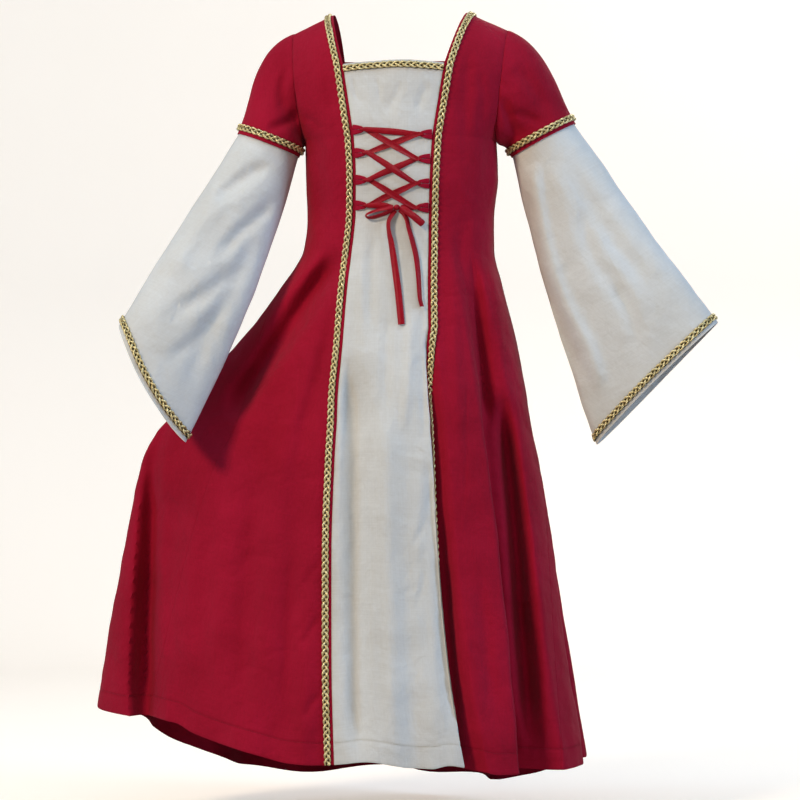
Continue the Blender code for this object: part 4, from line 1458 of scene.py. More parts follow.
LOOPS = (
    ("loop_left_1", -1, 0.1766),
    ("loop_left_2", -1, 0.2098),
    ("loop_left_3", -1, 0.2480),
    ("loop_left_4", -1, 0.2840),
    ("loop_right_1", 1, 0.1843),
    ("loop_right_2", 1, 0.2190),
    ("loop_right_3", 1, 0.2536),
    ("loop_right_4", 1, 0.2875),
)
LOOP_THICKNESS = 0.0014
STRAND = Table(
    "reach off width lift",
    (0.0006, 0.0037, 0.0074, 0.0012),
    (0.0050, 0.0035, 0.0068, 0.0021),
    (0.0090, 0.0031, 0.0058, 0.0028),
    (0.0120, 0.0029, 0.0046, 0.0030),
    (0.0148, 0.0021, 0.0038, 0.0030),
    (0.0164, 0.0000, 0.0034, 0.0030),
)
EYE_TURN = (
    (0.0200, 0.0046, 0.0058, 0.0009),
    (0.0165, 0.0047, 0.0040, 0.0010),
    (0.0135, 0.0046, 0.0030, 0.0011),
    (0.0121, 0.0038, 0.0028, 0.0011),
    (0.0118, 0.0028, 0.0028, 0.0011),
    (0.0121, 0.0018, 0.0028, 0.0010),
    (0.0135, 0.0013, 0.0030, 0.0008),
    (0.0165, 0.0013, 0.0040, 0.0008),
    (0.0200, 0.0014, 0.0058, 0.0008),
)
ROUTE = (
    ("loop_left_4", 0.0030),
    ("loop_right_3", 0.0024),
    ("loop_left_2", 0.0050),
    ("loop_right_1", 0.0024),
    ("loop_left_1", 0.0030),
    ("loop_right_2", 0.0050),
    ("loop_left_3", 0.0024),
    ("loop_right_4", 0.0050),
)
LAST_RIDE = 0.0024
STRETCH = (0.16, 0.38, 0.62, 0.84)
STRETCH_RISE = 2.6
KNOT = (0.0065, 0.2872, 0.0046)
KNOT_SIZE = (0.0050, 0.0038, 0.0042)
LACING_END = (0.2862, 0.0028, 0.0040, 0.0011)
TAIL_LEFT = (
    (0.0047, 0.2916, 0.0035, 0.0046, 0), (0.0010, 0.2960, 0.0038, 0.0056, 15),
    (-0.0035, 0.3040, 0.0048, 0.0066, 35), (-0.0055, 0.3125, 0.0052, 0.0070, 42),
    (-0.0045, 0.3250, 0.0048, 0.0072, 38), (-0.0020, 0.3377, 0.0042, 0.0076, 25),
    (0.0009, 0.3604, 0.0034, 0.0078, 10), (0.0037, 0.3900, 0.0032, 0.0080, 4),
    (0.0051, 0.4042, 0.0030, 0.0080, 0), (0.0067, 0.4300, 0.0028, 0.0080, 0),
    (0.0080, 0.4537, 0.0028, 0.0080, 0),
)
TAIL_RIGHT = (
    (0.0098, 0.2911, 0.0034, 0.0044, 0), (0.0160, 0.2960, 0.0036, 0.0054, -20),
    (0.0205, 0.3050, 0.0046, 0.0064, -38), (0.0229, 0.3165, 0.0050, 0.0070, -42),
    (0.0279, 0.3363, 0.0048, 0.0074, -35), (0.0322, 0.3575, 0.0046, 0.0076, -32),
    (0.0340, 0.3800, 0.0048, 0.0076, -36), (0.0345, 0.4010, 0.0050, 0.0074, -40),
    (0.0350, 0.4184, 0.0050, 0.0072, -42), (0.0372, 0.4300, 0.0050, 0.0070, -42),
)
BOW_LEFT = (
    (0.0015, 0.2877, 0.0066, 0.0044, 20), (-0.0080, 0.2892, 0.0074, 0.0064, 40),
    (-0.0190, 0.2915, 0.0074, 0.0068, 52), (-0.0310, 0.2950, 0.0072, 0.0070, 62),
    (-0.0362, 0.2985, 0.0070, 0.0070, 66), (-0.0330, 0.3020, 0.0068, 0.0070, 66),
    (-0.0230, 0.3012, 0.0066, 0.0068, 60), (-0.0110, 0.2975, 0.0066, 0.0060, 50),
    (0.0022, 0.2904, 0.0060, 0.0036, 20),
)
BOW_RIGHT = (
    (0.0115, 0.2869, 0.0068, 0.0052, 0), (0.0190, 0.2912, 0.0086, 0.0076, 0),
    (0.0290, 0.2998, 0.0096, 0.0080, 0), (0.0385, 0.3083, 0.0090, 0.0080, 0),
    (0.0420, 0.3115, 0.0074, 0.0080, 0), (0.0390, 0.3088, 0.0058, 0.0080, 0),
    (0.0290, 0.2998, 0.0054, 0.0080, 0), (0.0190, 0.2912, 0.0052, 0.0072, 0),
    (0.0123, 0.2868, 0.0050, 0.0050, 0),
)

LEFT_CREASES = creases(
    View.FRONT,
    (21, 15, 0.2, (-347, 652), (-357, 741), (-365, 843), (-371, 978), (-368, 1023)),
    (24, 13, 0.2, (-319, 671), (-332, 755), (-339, 852), (-342, 1020)),
    (19, 19, 0.15, (-78, 345), (-105, 381), (-141, 429), (-185, 493), (-219, 546), (-244, 588)),
    (14, 5.9, 0.3, (-134, 161), (-120, 220), (-117, 284), (-124, 333)),
    (6, 2.6, 0.3, (-146, 152), (-129, 160), (-109, 178)),
    (9, 2.2, 0.3, (-117, 51), (-105, 107), (-95, 167)),
    (17, 11, 0.22, (-85, 342), (-114, 385), (-153, 445), (-198, 507), (-230, 553), (-252, 593)),
    (13, -5.1, 0.3, (-102, 331), (-137, 378), (-180, 429), (-220, 482)),
    (15, 5.1, 0.3, (-88, 415), (-107, 490), (-131, 574), (-145, 657)),
    (22, 6.8, 0.3, (-194, 636), (-208, 783), (-215, 922), (-210, 1034)),
    (14, 4.8, 0.3, (-145, 727), (-153, 839), (-155, 978), (-146, 1059)),
    (20, 5.4, 0.3, (-262, 699), (-276, 811), (-275, 950), (-261, 1031)),
    (6, 2.7, 0.3, (-109, 783), (-124, 799), (-137, 825)),
    (7, 3.1, 0.3, (-109, 855), (-125, 878), (-139, 905)),
    (6, 2.6, 0.3, (-109, 961), (-124, 978), (-134, 1003)),
    (5, 1.5, 0.3, (-230, 783), (-194, 777), (-163, 786)),
    (5, 1.5, 0.3, (-227, 939), (-208, 931), (-180, 939)),
)
RIGHT_CREASES = creases(
    View.FRONT,
    (15, 34, 0.2, (142, 532), (151, 629), (162, 741), (171, 866), (180, 978), (188, 1067)),
    (8, 8, 0.2, (57, 699), (61, 783), (66, 866), (72, 922), (82, 1045)),
    (12, 6.8, 0.3, (136, 147), (127, 206), (124, 263), (120, 312)),
    (12, 3.1, 0.3, (98, 48), (93, 121), (86, 199)),
    (9, 2.4, 0.3, (112, 79), (117, 136), (112, 192)),
    (12, -3.5, 0.3, (68, 330), (75, 434), (79, 560), (82, 671)),
    (10, 10.5, 0.3, (102, 326), (109, 434), (118, 532), (128, 629)),
    (8, -3, 0.3, (127, 337), (138, 434), (149, 521)),
    (1.8, 1.5, 0.1, (100, 351), (105, 433), (114, 504), (120, 585)),
    (1.8, 1.2, 0.1, (93, 540), (91, 581), (91, 649), (86, 720)),
    (13, 4.4, 0.3, (107, 783), (117, 894), (127, 1020)),
    (12, 4.8, 0.3, (209, 783), (217, 908), (227, 1034)),
    (6, 1.7, 0.3, (93, 894), (110, 911), (127, 908)),
)
PALE_CREASES = creases(
    View.FRONT,
    (19, 19, 0.15, (-68, 490), (-64, 615), (-63, 783), (-61, 950), (-57, 1070)),
    (18, -6, 0.2, (-21, 532), (-20, 671), (-17, 839), (-13, 978), (-7, 1070)),
    (12, 8, 0.2, (43, 298), (43, 420), (40, 518), (40, 629)),
    (10, -4, 0.3, (15, 420), (10, 532), (1, 615)),
    (16, 9, 0.2, (46, 615), (54, 755), (61, 894), (78, 1036)),
    (4.5, 1.8, 0.3, (-72, 102), (-66, 119), (-61, 136)),
    (7.5, 2, 0.3, (4, 107), (-10, 133), (-21, 155)),
    (8, 2.1, 0.3, (41, 110), (28, 133), (24, 155)),
    (4.5, 1.2, 0.3, (-38, 99), (-31, 121), (-34, 141)),
    (1.2, 0.8, 0.05, (-62, 175), (-62, 232), (-61, 288)),
    (1.2, 0.8, 0.05, (33, 184), (33, 234), (33, 288)),
    (9, 3.6, 0.3, (-39, 312), (-42, 392), (-43, 473)),
    (7, -1.6, 0.3, (-56, 323), (-57, 406), (-56, 490)),
    (10, 2.6, 0.3, (-18, 420), (-21, 518), (-22, 602)),
    (12, 4, 0.3, (42, 643), (35, 741), (36, 866), (44, 978)),
    (5, 1.6, 0.3, (38, 724), (26, 744), (13, 767)),
    (5, 1.6, 0.3, (36, 791), (28, 825), (18, 855)),
    (14, 2.9, 0.3, (-32, 783), (-28, 894), (-29, 1034)),
)
BACK_CREASES = creases(
    View.BACK,
    (13, 5.6, 0.3, (-108, 110), (-94, 160), (-88, 225)),
    (12, 5.1, 0.3, (109, 100), (97, 170), (86, 230)),
    (18, 3.5, 0.3, (4, 90), (-4, 150), (2, 235)),
    (17, 10.4, 0.3, (-55, 200), (-75, 290), (-125, 370), (-185, 450)),
    (13, -4.8, 0.3, (-30, 250), (-40, 340), (-60, 440)),
    (14, 8, 0.3, (48, 250), (66, 340), (80, 450)),
    (13, 6.1, 0.3, (12, 270), (18, 350), (14, 460)),
    (12, 5.1, 0.3, (100, 270), (118, 360), (130, 480)),
    (22, 8, 0.3, (-255, 580), (-275, 740), (-290, 930)),
    (18, 5.8, 0.3, (-120, 550), (-128, 700), (-122, 900)),
    (16, 5.1, 0.3, (35, 600), (30, 760), (42, 950)),
    (16, 5.4, 0.3, (150, 620), (164, 780), (182, 980)),
    (6, 1.9, 0.3, (-10, 300), (10, 310), (34, 305)),
) + creases(
    View.LEFT,
    (16, 5.6, 0.3, (30, 300), (55, 420), (70, 560)),
    (14, 4.8, 0.3, (10, 560), (22, 700), (30, 880)),
) + creases(
    View.RIGHT,
    (14, 5.6, 0.3, (30, 260), (45, 380), (60, 520)),
    (18, 6.4, 0.3, (85, 550), (110, 720), (140, 920)),
)
SLEEVE_CREASES = {
    "left": creases(
        View.FRONT,
        (9, 5.4, 0.3, (-143, 141), (-165, 162), (-197, 175)),
        (8, 3.5, 0.3, (-163, 68), (-171, 113), (-165, 152)),
        (11, 2.9, 0.3, (-185, 82), (-202, 124), (-212, 158)),
    ) + creases(
        View.BACK,
        (9, 5.4, 0.3, (-150, 125), (-175, 150), (-205, 160)),
        (10, 3.5, 0.3, (-165, 60), (-180, 100), (-176, 135)),
    ),
    "right": creases(
        View.FRONT,
        (9, 5.8, 0.3, (143, 124), (156, 161), (173, 189)),
        (12, 3.2, 0.3, (165, 76), (192, 119), (215, 152)),
        (7, 2.9, 0.3, (144, 152), (171, 152), (205, 164)),
    ) + creases(
        View.BACK,
        (9, 5.4, 0.3, (150, 115), (170, 145), (190, 165)),
        (11, 3.5, 0.3, (165, 55), (195, 90), (222, 130)),
    ),
}
BELL_CREASES = {
    "left": creases(
        View.FRONT,
        (14, 9.5, 0.3, (-180, 218), (-225, 244), (-277, 285)),
        (12, 7.8, 0.3, (-175, 266), (-201, 297), (-228, 322), (-264, 365)),
        (14, 7.8, 0.3, (-225, 367), (-276, 411), (-337, 451)),
        (15, 5.8, 0.3, (-195, 294), (-233, 390), (-280, 489), (-298, 563)),
        (18, -5.1, 0.3, (-239, 232), (-290, 319), (-344, 413)),
        (12, 4.4, 0.3, (-245, 418), (-284, 469), (-332, 514)),
    ) + creases(
        View.BACK,
        (16, 9.5, 0.3, (-195, 215), (-250, 270), (-315, 360)),
        (14, 7.5, 0.3, (-190, 270), (-235, 360), (-290, 470)),
        (13, -4.4, 0.3, (-225, 240), (-270, 350), (-320, 440)),
        (10, 4.4, 0.3, (-250, 400), (-290, 430), (-345, 440)),
    ),
    "right": creases(
        View.FRONT,
        (13, -8.8, 0.12, (185, 209), (194, 277), (209, 348), (232, 418), (267, 492), (286, 557)),
        (12, 6.8, 0.15, (168, 232), (180, 305), (201, 390), (229, 464), (259, 537)),
        (18, 6.1, 0.3, (225, 203), (267, 277), (318, 356), (378, 424)),
        (14, 5.1, 0.3, (246, 271), (279, 365), (338, 455)),
        (11, 4.1, 0.3, (287, 348), (321, 432), (338, 503)),
    ) + creases(
        View.BACK,
        (16, 9.5, 0.3, (185, 225), (240, 310), (310, 400)),
        (14, 7.1, 0.3, (225, 205), (300, 295), (370, 395)),
        (12, 5.8, 0.3, (205, 300), (240, 400), (275, 500)),
        (12, -4.1, 0.3, (255, 350), (310, 410), (350, 470)),
    ),
}

RED_CREASES = LEFT_CREASES + RIGHT_CREASES + BACK_CREASES


@dataclass(frozen=True)
class Plait:
    """A three-strand plait over a dark sheet of painted shade for the gaps between its strands: how its strands
    swing, rise and swell, and where both lie.
    """

    period: float = 0.0280
    swing: float = 0.0036
    rise: float = 0.0017
    crossing: float = 0.0011
    swelling: float = 0.25
    half_width: float = 0.00136
    half_height: float = 0.00100
    lift: float = 0.0004
    base_lift: float = 0.00055
    base_width: float = 0.0092
    base_thickness: float = 0.0006


@dataclass(frozen=True)
class Stitch:
    """A short arch of thread, and how far one is from the next."""

    pitch: float = 0.0036
    half_length: float = 0.0012
    rise: float = 0.00012
    arch: float = 0.00022
    radius: float = 0.00026


@dataclass(frozen=True)
class Sewing:
    """How seams and hems mark the cloth. Shades are shares, and the rest is in metres."""

    groove: float = 0.0006
    groove_width: float = 0.0014
    seam_line: float = 0.0012
    pucker: float = 0.0003
    pucker_wave: float = 0.026
    pucker_reach: float = 0.013
    sleeve_pucker: float = 0.0004
    sleeve_wave: float = 0.022
    sleeve_reach: float = 0.012
    hem_groove: float = 0.0005
    hem_pucker: float = 0.0004
    hem_wave: float = 0.03
    hem_reach: float = 0.02
    hem_thickness: float = 0.0006
    hem_step: float = 0.002
    hem_line: float = 0.0016
    seam_shade: float = 0.8
    hem_shade: float = 0.7
    sleeve_shade: float = 0.6


@dataclass(frozen=True)
class Wear:
    """How cloth that has been worn is uneven: its broad and small waves, and where they fade out."""

    broad: float = 0.11
    small: float = 0.035
    small_share: float = 0.28
    edge_share: float = 0.10
    edge_reach: float = 0.05
    calm: float = 0.002
    calm_reach: float = 0.012
    tube_reach: float = 0.02


PLAIT, STITCH, SEWING, WEAR = Plait(), Stitch(), Sewing(), Wear()
PLAIT_PITCH = PLAIT.period / 3
HEM_STITCHES = slice(3, -3)
RED_CELLS, PALE_CELLS, BACK_CELLS = 90, 66, (50, 40, 60)
NECK_TURN = 3


class Dress:
    """Builds every piece of the dress in cloth and thread."""

    def __init__(self) -> None:
        """Makes the finishes, and the two small pieces that repeat."""
        weave = weave_group()
        self.red, self.pale = linen(RED_LINEN, weave), linen(PALE_LINEN, weave)
        # Besides the gold, a nearly black finish for the sheet under each plait: painted shade in the gaps
        # between its strands.
        self.gold, self.base, self.satin = thread(GOLD), thread(PLAIT_GAP_SHADE), thread(SATIN)
        self.red_thread, self.pale_thread = thread(RED_THREAD), thread(PALE_THREAD)
        self.repeater = Repeater("repeat_along")
        self.plait, self.stitch = self.make_plait(), self.make_stitch()

    def make_plait(self) -> Object:
        """A third of a turn of a three-strand plait, which repeats exactly.

        Returns:
            Its object.
        """
        rows, columns = 9, 8
        s = np.linspace(-PLAIT_PITCH / 2, PLAIT_PITCH / 2, rows)
        turn_round = np.arange(columns) / columns
        points, faces, flat = [], [], []
        for strand in range(3):
            turn = 2 * math.pi * (s / PLAIT.period + strand / 3)
            rise = PLAIT.rise + PLAIT.crossing * np.sin(2 * turn)
            centre = np.stack([s, PLAIT.swing * np.sin(turn), rise], -1)
            heading = unit(np.gradient(centre, axis=0))
            side = unit(np.cross((0, 0, 1), heading))
            up = np.cross(heading, side)
            wide = side[:, None] * (np.cos(turn_round * 2 * math.pi) * PLAIT.half_width)[None, :, None]
            high = up[:, None] * (np.sin(turn_round * 2 * math.pi) * PLAIT.half_height)[None, :, None]
            bead = (1 + PLAIT.swelling * np.sin(2 * turn))[:, None, None]
            points.append((centre[:, None] + bead * (wide + high)).reshape(-1, 3))
            faces.append(grid_faces(rows, columns)[:, ::-1] + strand * rows * columns)
            flat.append(np.stack([np.tile(turn_round, rows), np.repeat(s / PLAIT_PITCH + strand, columns)], -1))
        points, faces, flat = (np.concatenate(grids) for grids in (points, faces, flat))
        return new_mesh("plait_link", points, faces, self.gold, flat)

    def make_stitch(self) -> Object:
        """One stitch: a short arch of thread.

        Returns:
            Its object.
        """
        count = 6
        s = np.linspace(-1, 1, count)
        centre = np.stack([s * STITCH.half_length, 0 * s, STITCH.rise + STITCH.arch * (1 - s**2)], -1)
        size = STITCH.radius * np.sqrt(np.clip(1 - (np.abs(s) * 0.92) ** 4, 0.05, 1))
        turn = np.arange(count) / count * 2 * math.pi
        ring = np.stack([0 * turn, np.cos(turn), np.sin(turn)], -1)
        grid = centre[:, None] + ring[None] * size[:, None, None]
        flat = np.stack([np.tile(np.arange(count) / count, count), np.repeat(s, count)], -1)
        return new_mesh("stitch_link", grid.reshape(-1, 3), grid_faces(count, count)[:, ::-1], self.gold, flat)

    def finish(self, piece: Object, slot: str, *nodes: str) -> Object:
        """Puts a piece on the frame.

        Args:
            piece: the piece.
            slot: the name of a material slot, which is only logged.
            nodes: the nodes that it stands for.

        Returns:
            The piece.
        """
        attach(piece, "root")
        if nodes:
            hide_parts(*nodes)
        log.info("%s: %s, for %s", piece.name, slot, ", ".join(nodes) or "no node")
        return piece

    def cloth(self, name: str, cloth: Cloth, material: Material, slot: str) -> None:
        """A sheet of cloth in the place of its node.

        Args:
            name: the node's name.
            cloth: its cloth.
            material: its material.
            slot: its material slot.
        """
        piece = self.finish(cloth.mesh(f"cloth_{name}", material), slot, name)

    def wear(
        self, cloth: Cloth, seed: int, drawn: Sequence[Crease], swell: float = 0.0012, calm: Array | None = None
    ) -> None:
        """Creases and a soft unevenness.

        Args:
            cloth: the cloth.
            seed: the seed of its unevenness.
            drawn: its creases.
            swell: how uneven it is.
            calm: how far each point is from an edge where both end, if there is one.
        """
        cloth.crease(drawn, 1.0 if calm is None else smooth((calm - WEAR.calm) / WEAR.calm_reach))
        still = 1.0
        if not cloth.closed:
            still = smooth(np.minimum(cloth.from_left, cloth.from_right) / WEAR.edge_reach)
        elif calm is not None:
            swell = swell * smooth(calm / WEAR.tube_reach)
        rough = unevenness(cloth.points, seed, WEAR.broad) * swell
        rough += unevenness(cloth.points, seed + 1, WEAR.small) * swell * WEAR.small_share
        cloth.press(rough * (WEAR.edge_share + (1 - WEAR.edge_share) * still))

    def seams(self, cloth: Cloth, seed: int) -> None:
        """Pressed-in side edges with small puckers beside them, and the hem's fold.

        Args:
            cloth: a panel of the body.
            seed: the seed of its puckers.
        """
        depth = np.zeros_like(cloth.across)
        for edge, distance in enumerate((cloth.from_left, cloth.from_right), 1):
            depth += SEWING.groove * near(distance, SEWING.groove_width)
            wave = ripple(cloth.along, seed + edge, SEWING.pucker_wave)
            depth += SEWING.pucker * wave * np.exp(-distance / SEWING.pucker_reach)
            cloth.seam = np.maximum(cloth.seam, SEWING.seam_shade * near(distance, SEWING.seam_line))
        up = cloth.along[-1:] - cloth.along
        folded = up - SIZES.hem_fold
        depth += SEWING.hem_groove * near(folded, SEWING.groove_width)
        wave = ripple(cloth.across, seed + 3, SEWING.hem_wave)
        depth += SEWING.hem_pucker * wave * near(folded, SEWING.hem_reach)
        depth += SEWING.groove * near(up, SEWING.seam_line)
        cloth.extra = SEWING.hem_thickness * smooth(-folded / SEWING.hem_step)
        cloth.seam = np.maximum(cloth.seam, SEWING.hem_shade * near(folded, SEWING.hem_line))
        cloth.press(depth)

    def braid(self, name: str, route: Route, closed: bool = False) -> None:
        """Plaited braid over a dark sheet of painted shade for the gaps between its strands, in the place of its
        node.

        Args:
            name: the node's name.
            route: its line on the cloth.
            closed: whether it is a ring.
        """
        # A dark sheet under the plait: painted shade for the gaps between its strands.
        low, widths = route.lifted(PLAIT.base_lift), np.full(len(route.points), PLAIT.base_width)
        base = ribbon(f"{name}_base", low, widths, PLAIT.base_thickness, self.base, closed=closed)
        self.finish(base, "gold_braid")
        high = route.lifted(PLAIT.lift)
        plait = self.repeater.along(f"{name}_plait", self.plait, self.gold, high, PLAIT_PITCH, closed)
        self.finish(plait, "gold_braid", name)

    def hem_stitches(self, word: str, cloth: Cloth, finish: Material, slot: str) -> None:
        """The row of stitches along a hem's fold.

        Args:
            word: where it is.
            cloth: the panel that it is on.
            finish: the thread's material.
            slot: the thread's material slot.
        """
        up = cloth.along[-1, 0] - cloth.along[:, 0]
        row = int(np.abs(up - SIZES.hem_fold).argmin())
        route = Route(cloth.points[row, HEM_STITCHES], cloth.normals[row, HEM_STITCHES])
        made = self.repeater.along(f"hem_stitches_{word}", self.stitch, finish, route, STITCH.pitch)
        self.finish(made, slot)

    def red_front(self, side: int, word: str, worn: int, sewn: int) -> None:
        """A red front panel with its braid.

        Args:
            side: -1 for the left one, 1 for the right one.
            word: the word in its name.
            worn: the seed of its unevenness.
            sewn: the seed of its puckers.
        """
        gap, lap = side * SIZES.gap / 2, side * SIZES.lap
        lines = [FORM.beside(FORM.seam(side), gap), FORM.beside(FORM.side(side), lap)]
        edges, column = [BRAIDED, EDGE], BRAID_COLUMN
        if side < 0:
            lines, edges, column = lines[::-1], edges[::-1], -1 - BRAID_COLUMN
        cloth = strip(*lines, LEVELS, *edges, RED_CELLS)
        self.wear(cloth, worn, RED_CREASES, calm=cloth.from_right if side < 0 else cloth.from_left)
        self.seams(cloth, sewn)
        self.braid(f"braid_front_{word}", Route(cloth.points[:, column], cloth.normals[:, column]))
        self.hem_stitches(word, cloth, self.red_thread, "red_linen")
        self.cloth(f"front_side_{word}", cloth, self.red, "red_linen")

    def pale_front(self) -> None:
        """The pale panel, whose top bows down under its braid."""
        level = LEVELS[LEVELS >= SIZES.panel_top - 1 - 1e-9]
        lines = FORM.beside(FORM.seam(-1), SIZES.gap / 2), FORM.beside(FORM.seam(1), -SIZES.gap / 2)
        pale = strip(*lines, level, EDGE, EDGE, PALE_CELLS)
        share = pale.across / pale.across[:, -1:]
        first = SIZES.panel_top + SIZES.braid_width / SIZES.underarm
        fade = np.interp(1 + pale.level, (first, 0.62, 0.74), (1, 1 / 3, 0))
        shifted = pale.level - SIZES.panel_bow / SIZES.underarm * (1 - share**2) * fade
        pale.points, pale.normals = FORM.point(pale.angle, shifted), FORM.normal(pale.angle, shifted)
        self.wear(pale, 13, PALE_CREASES, calm=np.minimum(pale.from_left, pale.from_right))
        self.seams(pale, 41)
        middle = SIZES.panel_top + SIZES.braid_width / 2 / SIZES.underarm
        row = int(np.abs(level + 1 - middle).argmin())
        self.braid("braid_neck_front", pale.row(row))
        self.hem_stitches("middle", pale, self.pale_thread, "natural_linen")
        self.cloth("front_middle", pale, self.pale, "natural_linen")

    def back(self) -> None:
        """The back with its square neck and braid."""
        left, right = FORM.back_edge(-1), FORM.back_edge(1)
        sides = FORM.beside(FORM.side(1, True), -SIZES.lap), FORM.beside(FORM.side(-1, True), SIZES.lap)
        parts = [
            strip(sides[0], right, LEVELS, EDGE, BACK_BRAIDED, BACK_CELLS[0]),
            strip(right, left, LEVELS, (0, 0.004), (0, 0.004), BACK_CELLS[1]),
            strip(left, sides[1], LEVELS, BACK_BRAIDED, EDGE, BACK_CELLS[2]),
        ]
        points, normals = (
            np.concatenate([getattr(part, key)[:, min(i, 1) :] for i, part in enumerate(parts)], 1)
            for key in ("points", "normals")
        )
        middle = parts[1].across
        start = middle[:, :1] - parts[0].across[:, -1:]
        end = middle[:, -1:] - parts[2].across[:, :1]
        across = np.concatenate([parts[0].across + start, middle[:, 1:], parts[2].across[:, 1:] + end], 1)
        cloth = Cloth(points, normals, across, np.repeat(parts[1].along[:, :1], across.shape[1], 1))
        cloth.from_left, cloth.from_right = across - across[:, :1], across[:, -1:] - across
        first = parts[0].across.shape[1] - 1
        last = first + middle.shape[1] - 1
        cloth.shown[: int(np.abs(LEVELS + 1 - SIZES.back_neck).argmin()), first:last] = False
        self.wear(cloth, 14, RED_CREASES, 0.0016)
        self.seams(cloth, 51)
        away = SIZES.braid_margin + SIZES.braid_width / 2
        row = int(np.abs(LEVELS + 1 - (SIZES.back_neck + away / SIZES.underarm)).argmin())
        one, other = first - BACK_BRAID_COLUMN, last + BACK_BRAID_COLUMN
        turn = row - NECK_TURN
        route = [
            np.concatenate([grid[: turn + 1, one], grid[row, one + 2 : other - 1], grid[turn::-1, other]])
            for grid in (cloth.points, cloth.normals)
        ]
        self.braid("braid_neck_back", Route(*route))
        self.hem_stitches("back", cloth, self.red_thread, "red_linen")
        self.cloth("back", cloth, self.red, "red_linen")

    def sleeves(self) -> None:
        """Both sleeves and bells with their braid."""
        for cut in SLEEVES:
            form = SleeveForm(cut)
            red = form.red()
            self.wear(red, 60 + cut.side, SLEEVE_CREASES[cut.word], 0.0007)
            wave = SEWING.sleeve_pucker * ripple(red.across, 70 + cut.side, SEWING.sleeve_wave)
            groove = near(red.along, SEWING.groove_width)
            red.press(SEWING.groove * groove + wave * np.exp(-red.along / SEWING.sleeve_reach))
            underarm = SEWING.sleeve_shade * near(red.round, SEWING.hem_line)
            red.seam = np.maximum(SEWING.seam_shade * groove, underarm)
            self.braid(f"braid_sleeve_{cut.word}", red.row(BAND_BRAID_ROW), closed=True)
            self.cloth(f"sleeve_{cut.word}", red, self.red, "red_linen")
            bell = form.bell()
            self.wear(bell, 80 + cut.side, BELL_CREASES[cut.word], 0.0011, calm=bell.along - SIZES.bell_tuck)
            bell.seam = SEWING.sleeve_shade * near(bell.round, SEWING.hem_line)
            self.braid(f"braid_cuff_{cut.word}", bell.row(BAND_BRAID_ROW), closed=True)
            self.cloth(f"bell_{cut.word}", bell, self.pale, "natural_linen")

    def seam_across(self, side: int, drop: float) -> float:
        """How far from the middle plane the pale panel's seam lies, near the lacing.

        Args:
            side: -1 for the left seam, 1 for the right one.
            drop: how far below the origin.

        Returns:
            Its x before the body's turn.
        """
        below = (min(drop / SIZES.underarm, 1) - SIZES.panel_top) / (1 - SIZES.panel_top)
        high = SIZES.panel_top_half + (SIZES.panel_underarm_half - SIZES.panel_top_half) * below
        low = abs(float(SECTIONS.at("seam_left" if side < 0 else "seam_right", drop)))
        return side * (high if drop < SIZES.underarm else low)

    def loops(self) -> None:
        """The folded cloth loops beside the pale panel."""
        reach, off, width, lift = STRAND.columns.values()
        back = (reach, -off, width, lift)
        rows = np.stack([np.concatenate([v, w[-2::-1]]) for v, w in zip(STRAND.columns.values(), back)], -1)
        rows = catmull(rows, 5)
        for name, side, drop in LOOPS:
            place = self.seam_across(side, drop) - side * rows[:, 0], drop - rows[:, 1], rows[:, 3]
            piece = ribbon(f"cloth_{name}", over_front(*place), rows[:, 2], LOOP_THICKNESS, self.red)
            self.finish(piece, "red_linen", name)

    def stretch(self, start: Sequence[float], end: Sequence[float], ride: float) -> list[tuple]:
        """The ribbon between two loops, flat and free of the panel midway.

        Args:
            start: its first row, as in a table of ribbon rows.
            end: its last row.
            ride: how far out it lies midway.

        Returns:
            The rows between.
        """
        start, end = np.array(start), np.array(end)
        rows = []
        for share in STRETCH:
            row = start + (end - start) * share
            flat = np.array((ride, SIZES.ribbon, SIZES.ribbon_thickness))
            row[2:] += (flat - row[2:]) * min(1.0, STRETCH_RISE * min(share, 1 - share))
            rows.append(tuple(row))
        return rows

    def lacing(self) -> None:
        """The ribbon through every loop, its bow and its hanging ends."""
        places = {name: (side, drop) for name, side, drop in LOOPS}
        rows = [(KNOT[0] - KNOT_SIZE[0] - SIZES.gap, *LACING_END)]
        for name, ride in ROUTE:
            side, drop = places[name]
            start = self.seam_across(side, drop)
            eye = [(start - side * reach, drop, *turn) for reach, *turn in EYE_TURN]
            rows += [*self.stretch(rows[-1], eye[0], ride), *eye]
        last = (KNOT[0] + KNOT_SIZE[0] + SIZES.gap, *LACING_END)
        rows += [*self.stretch(rows[-1], last, LAST_RIDE), last]
        across, drop, lift, width, _ = catmull(np.array(rows), 5).T
        route = over_front(across, drop, lift)
        down = on_front(across, drop + LIFT_STEP, lift) - on_front(across, drop - LIFT_STEP, lift)
        widths = width * SIZES.ribbon_fullness
        piece = ribbon("ribbon_lacing", route, widths, SIZES.ribbon_thickness, self.satin, down, crown=0.12)
        self.finish(piece, "red_satin", "lacing")
        self.hanging("bow_left", BOW_LEFT)
        self.hanging("bow_right", BOW_RIGHT)
        knot = on_front(*KNOT)
        for name, table in (("tail_left", TAIL_LEFT), ("tail_right", TAIL_RIGHT)):
            piece, line = self.hanging(name, table)
        self.knot()

    def hanging(self, name: str, table: Sequence[Sequence[float]]) -> tuple[Object, Array]:
        """A bow loop or a hanging end, turned about its own line.

        Args:
            name: its node's name.
            table: for each point its place over the front, its width and its turn in degrees.

        Returns:
            The ribbon and its middle line.
        """
        across, drop, lift, width, turn = catmull(np.array(table, float), 6).T
        route = over_front(across, drop, lift)
        flat = unit(np.cross(route.normals, unit(np.gradient(route.points, axis=0))))
        turn = np.radians(turn)[:, None]
        axes = flat * np.cos(turn) + route.normals * np.sin(turn)
        widths = width * SIZES.hanging_fullness
        piece = ribbon(f"ribbon_{name}", route, widths, SIZES.ribbon_thickness, self.satin, axes, crown=0.13)
        return self.finish(piece, "red_satin", name), route.points

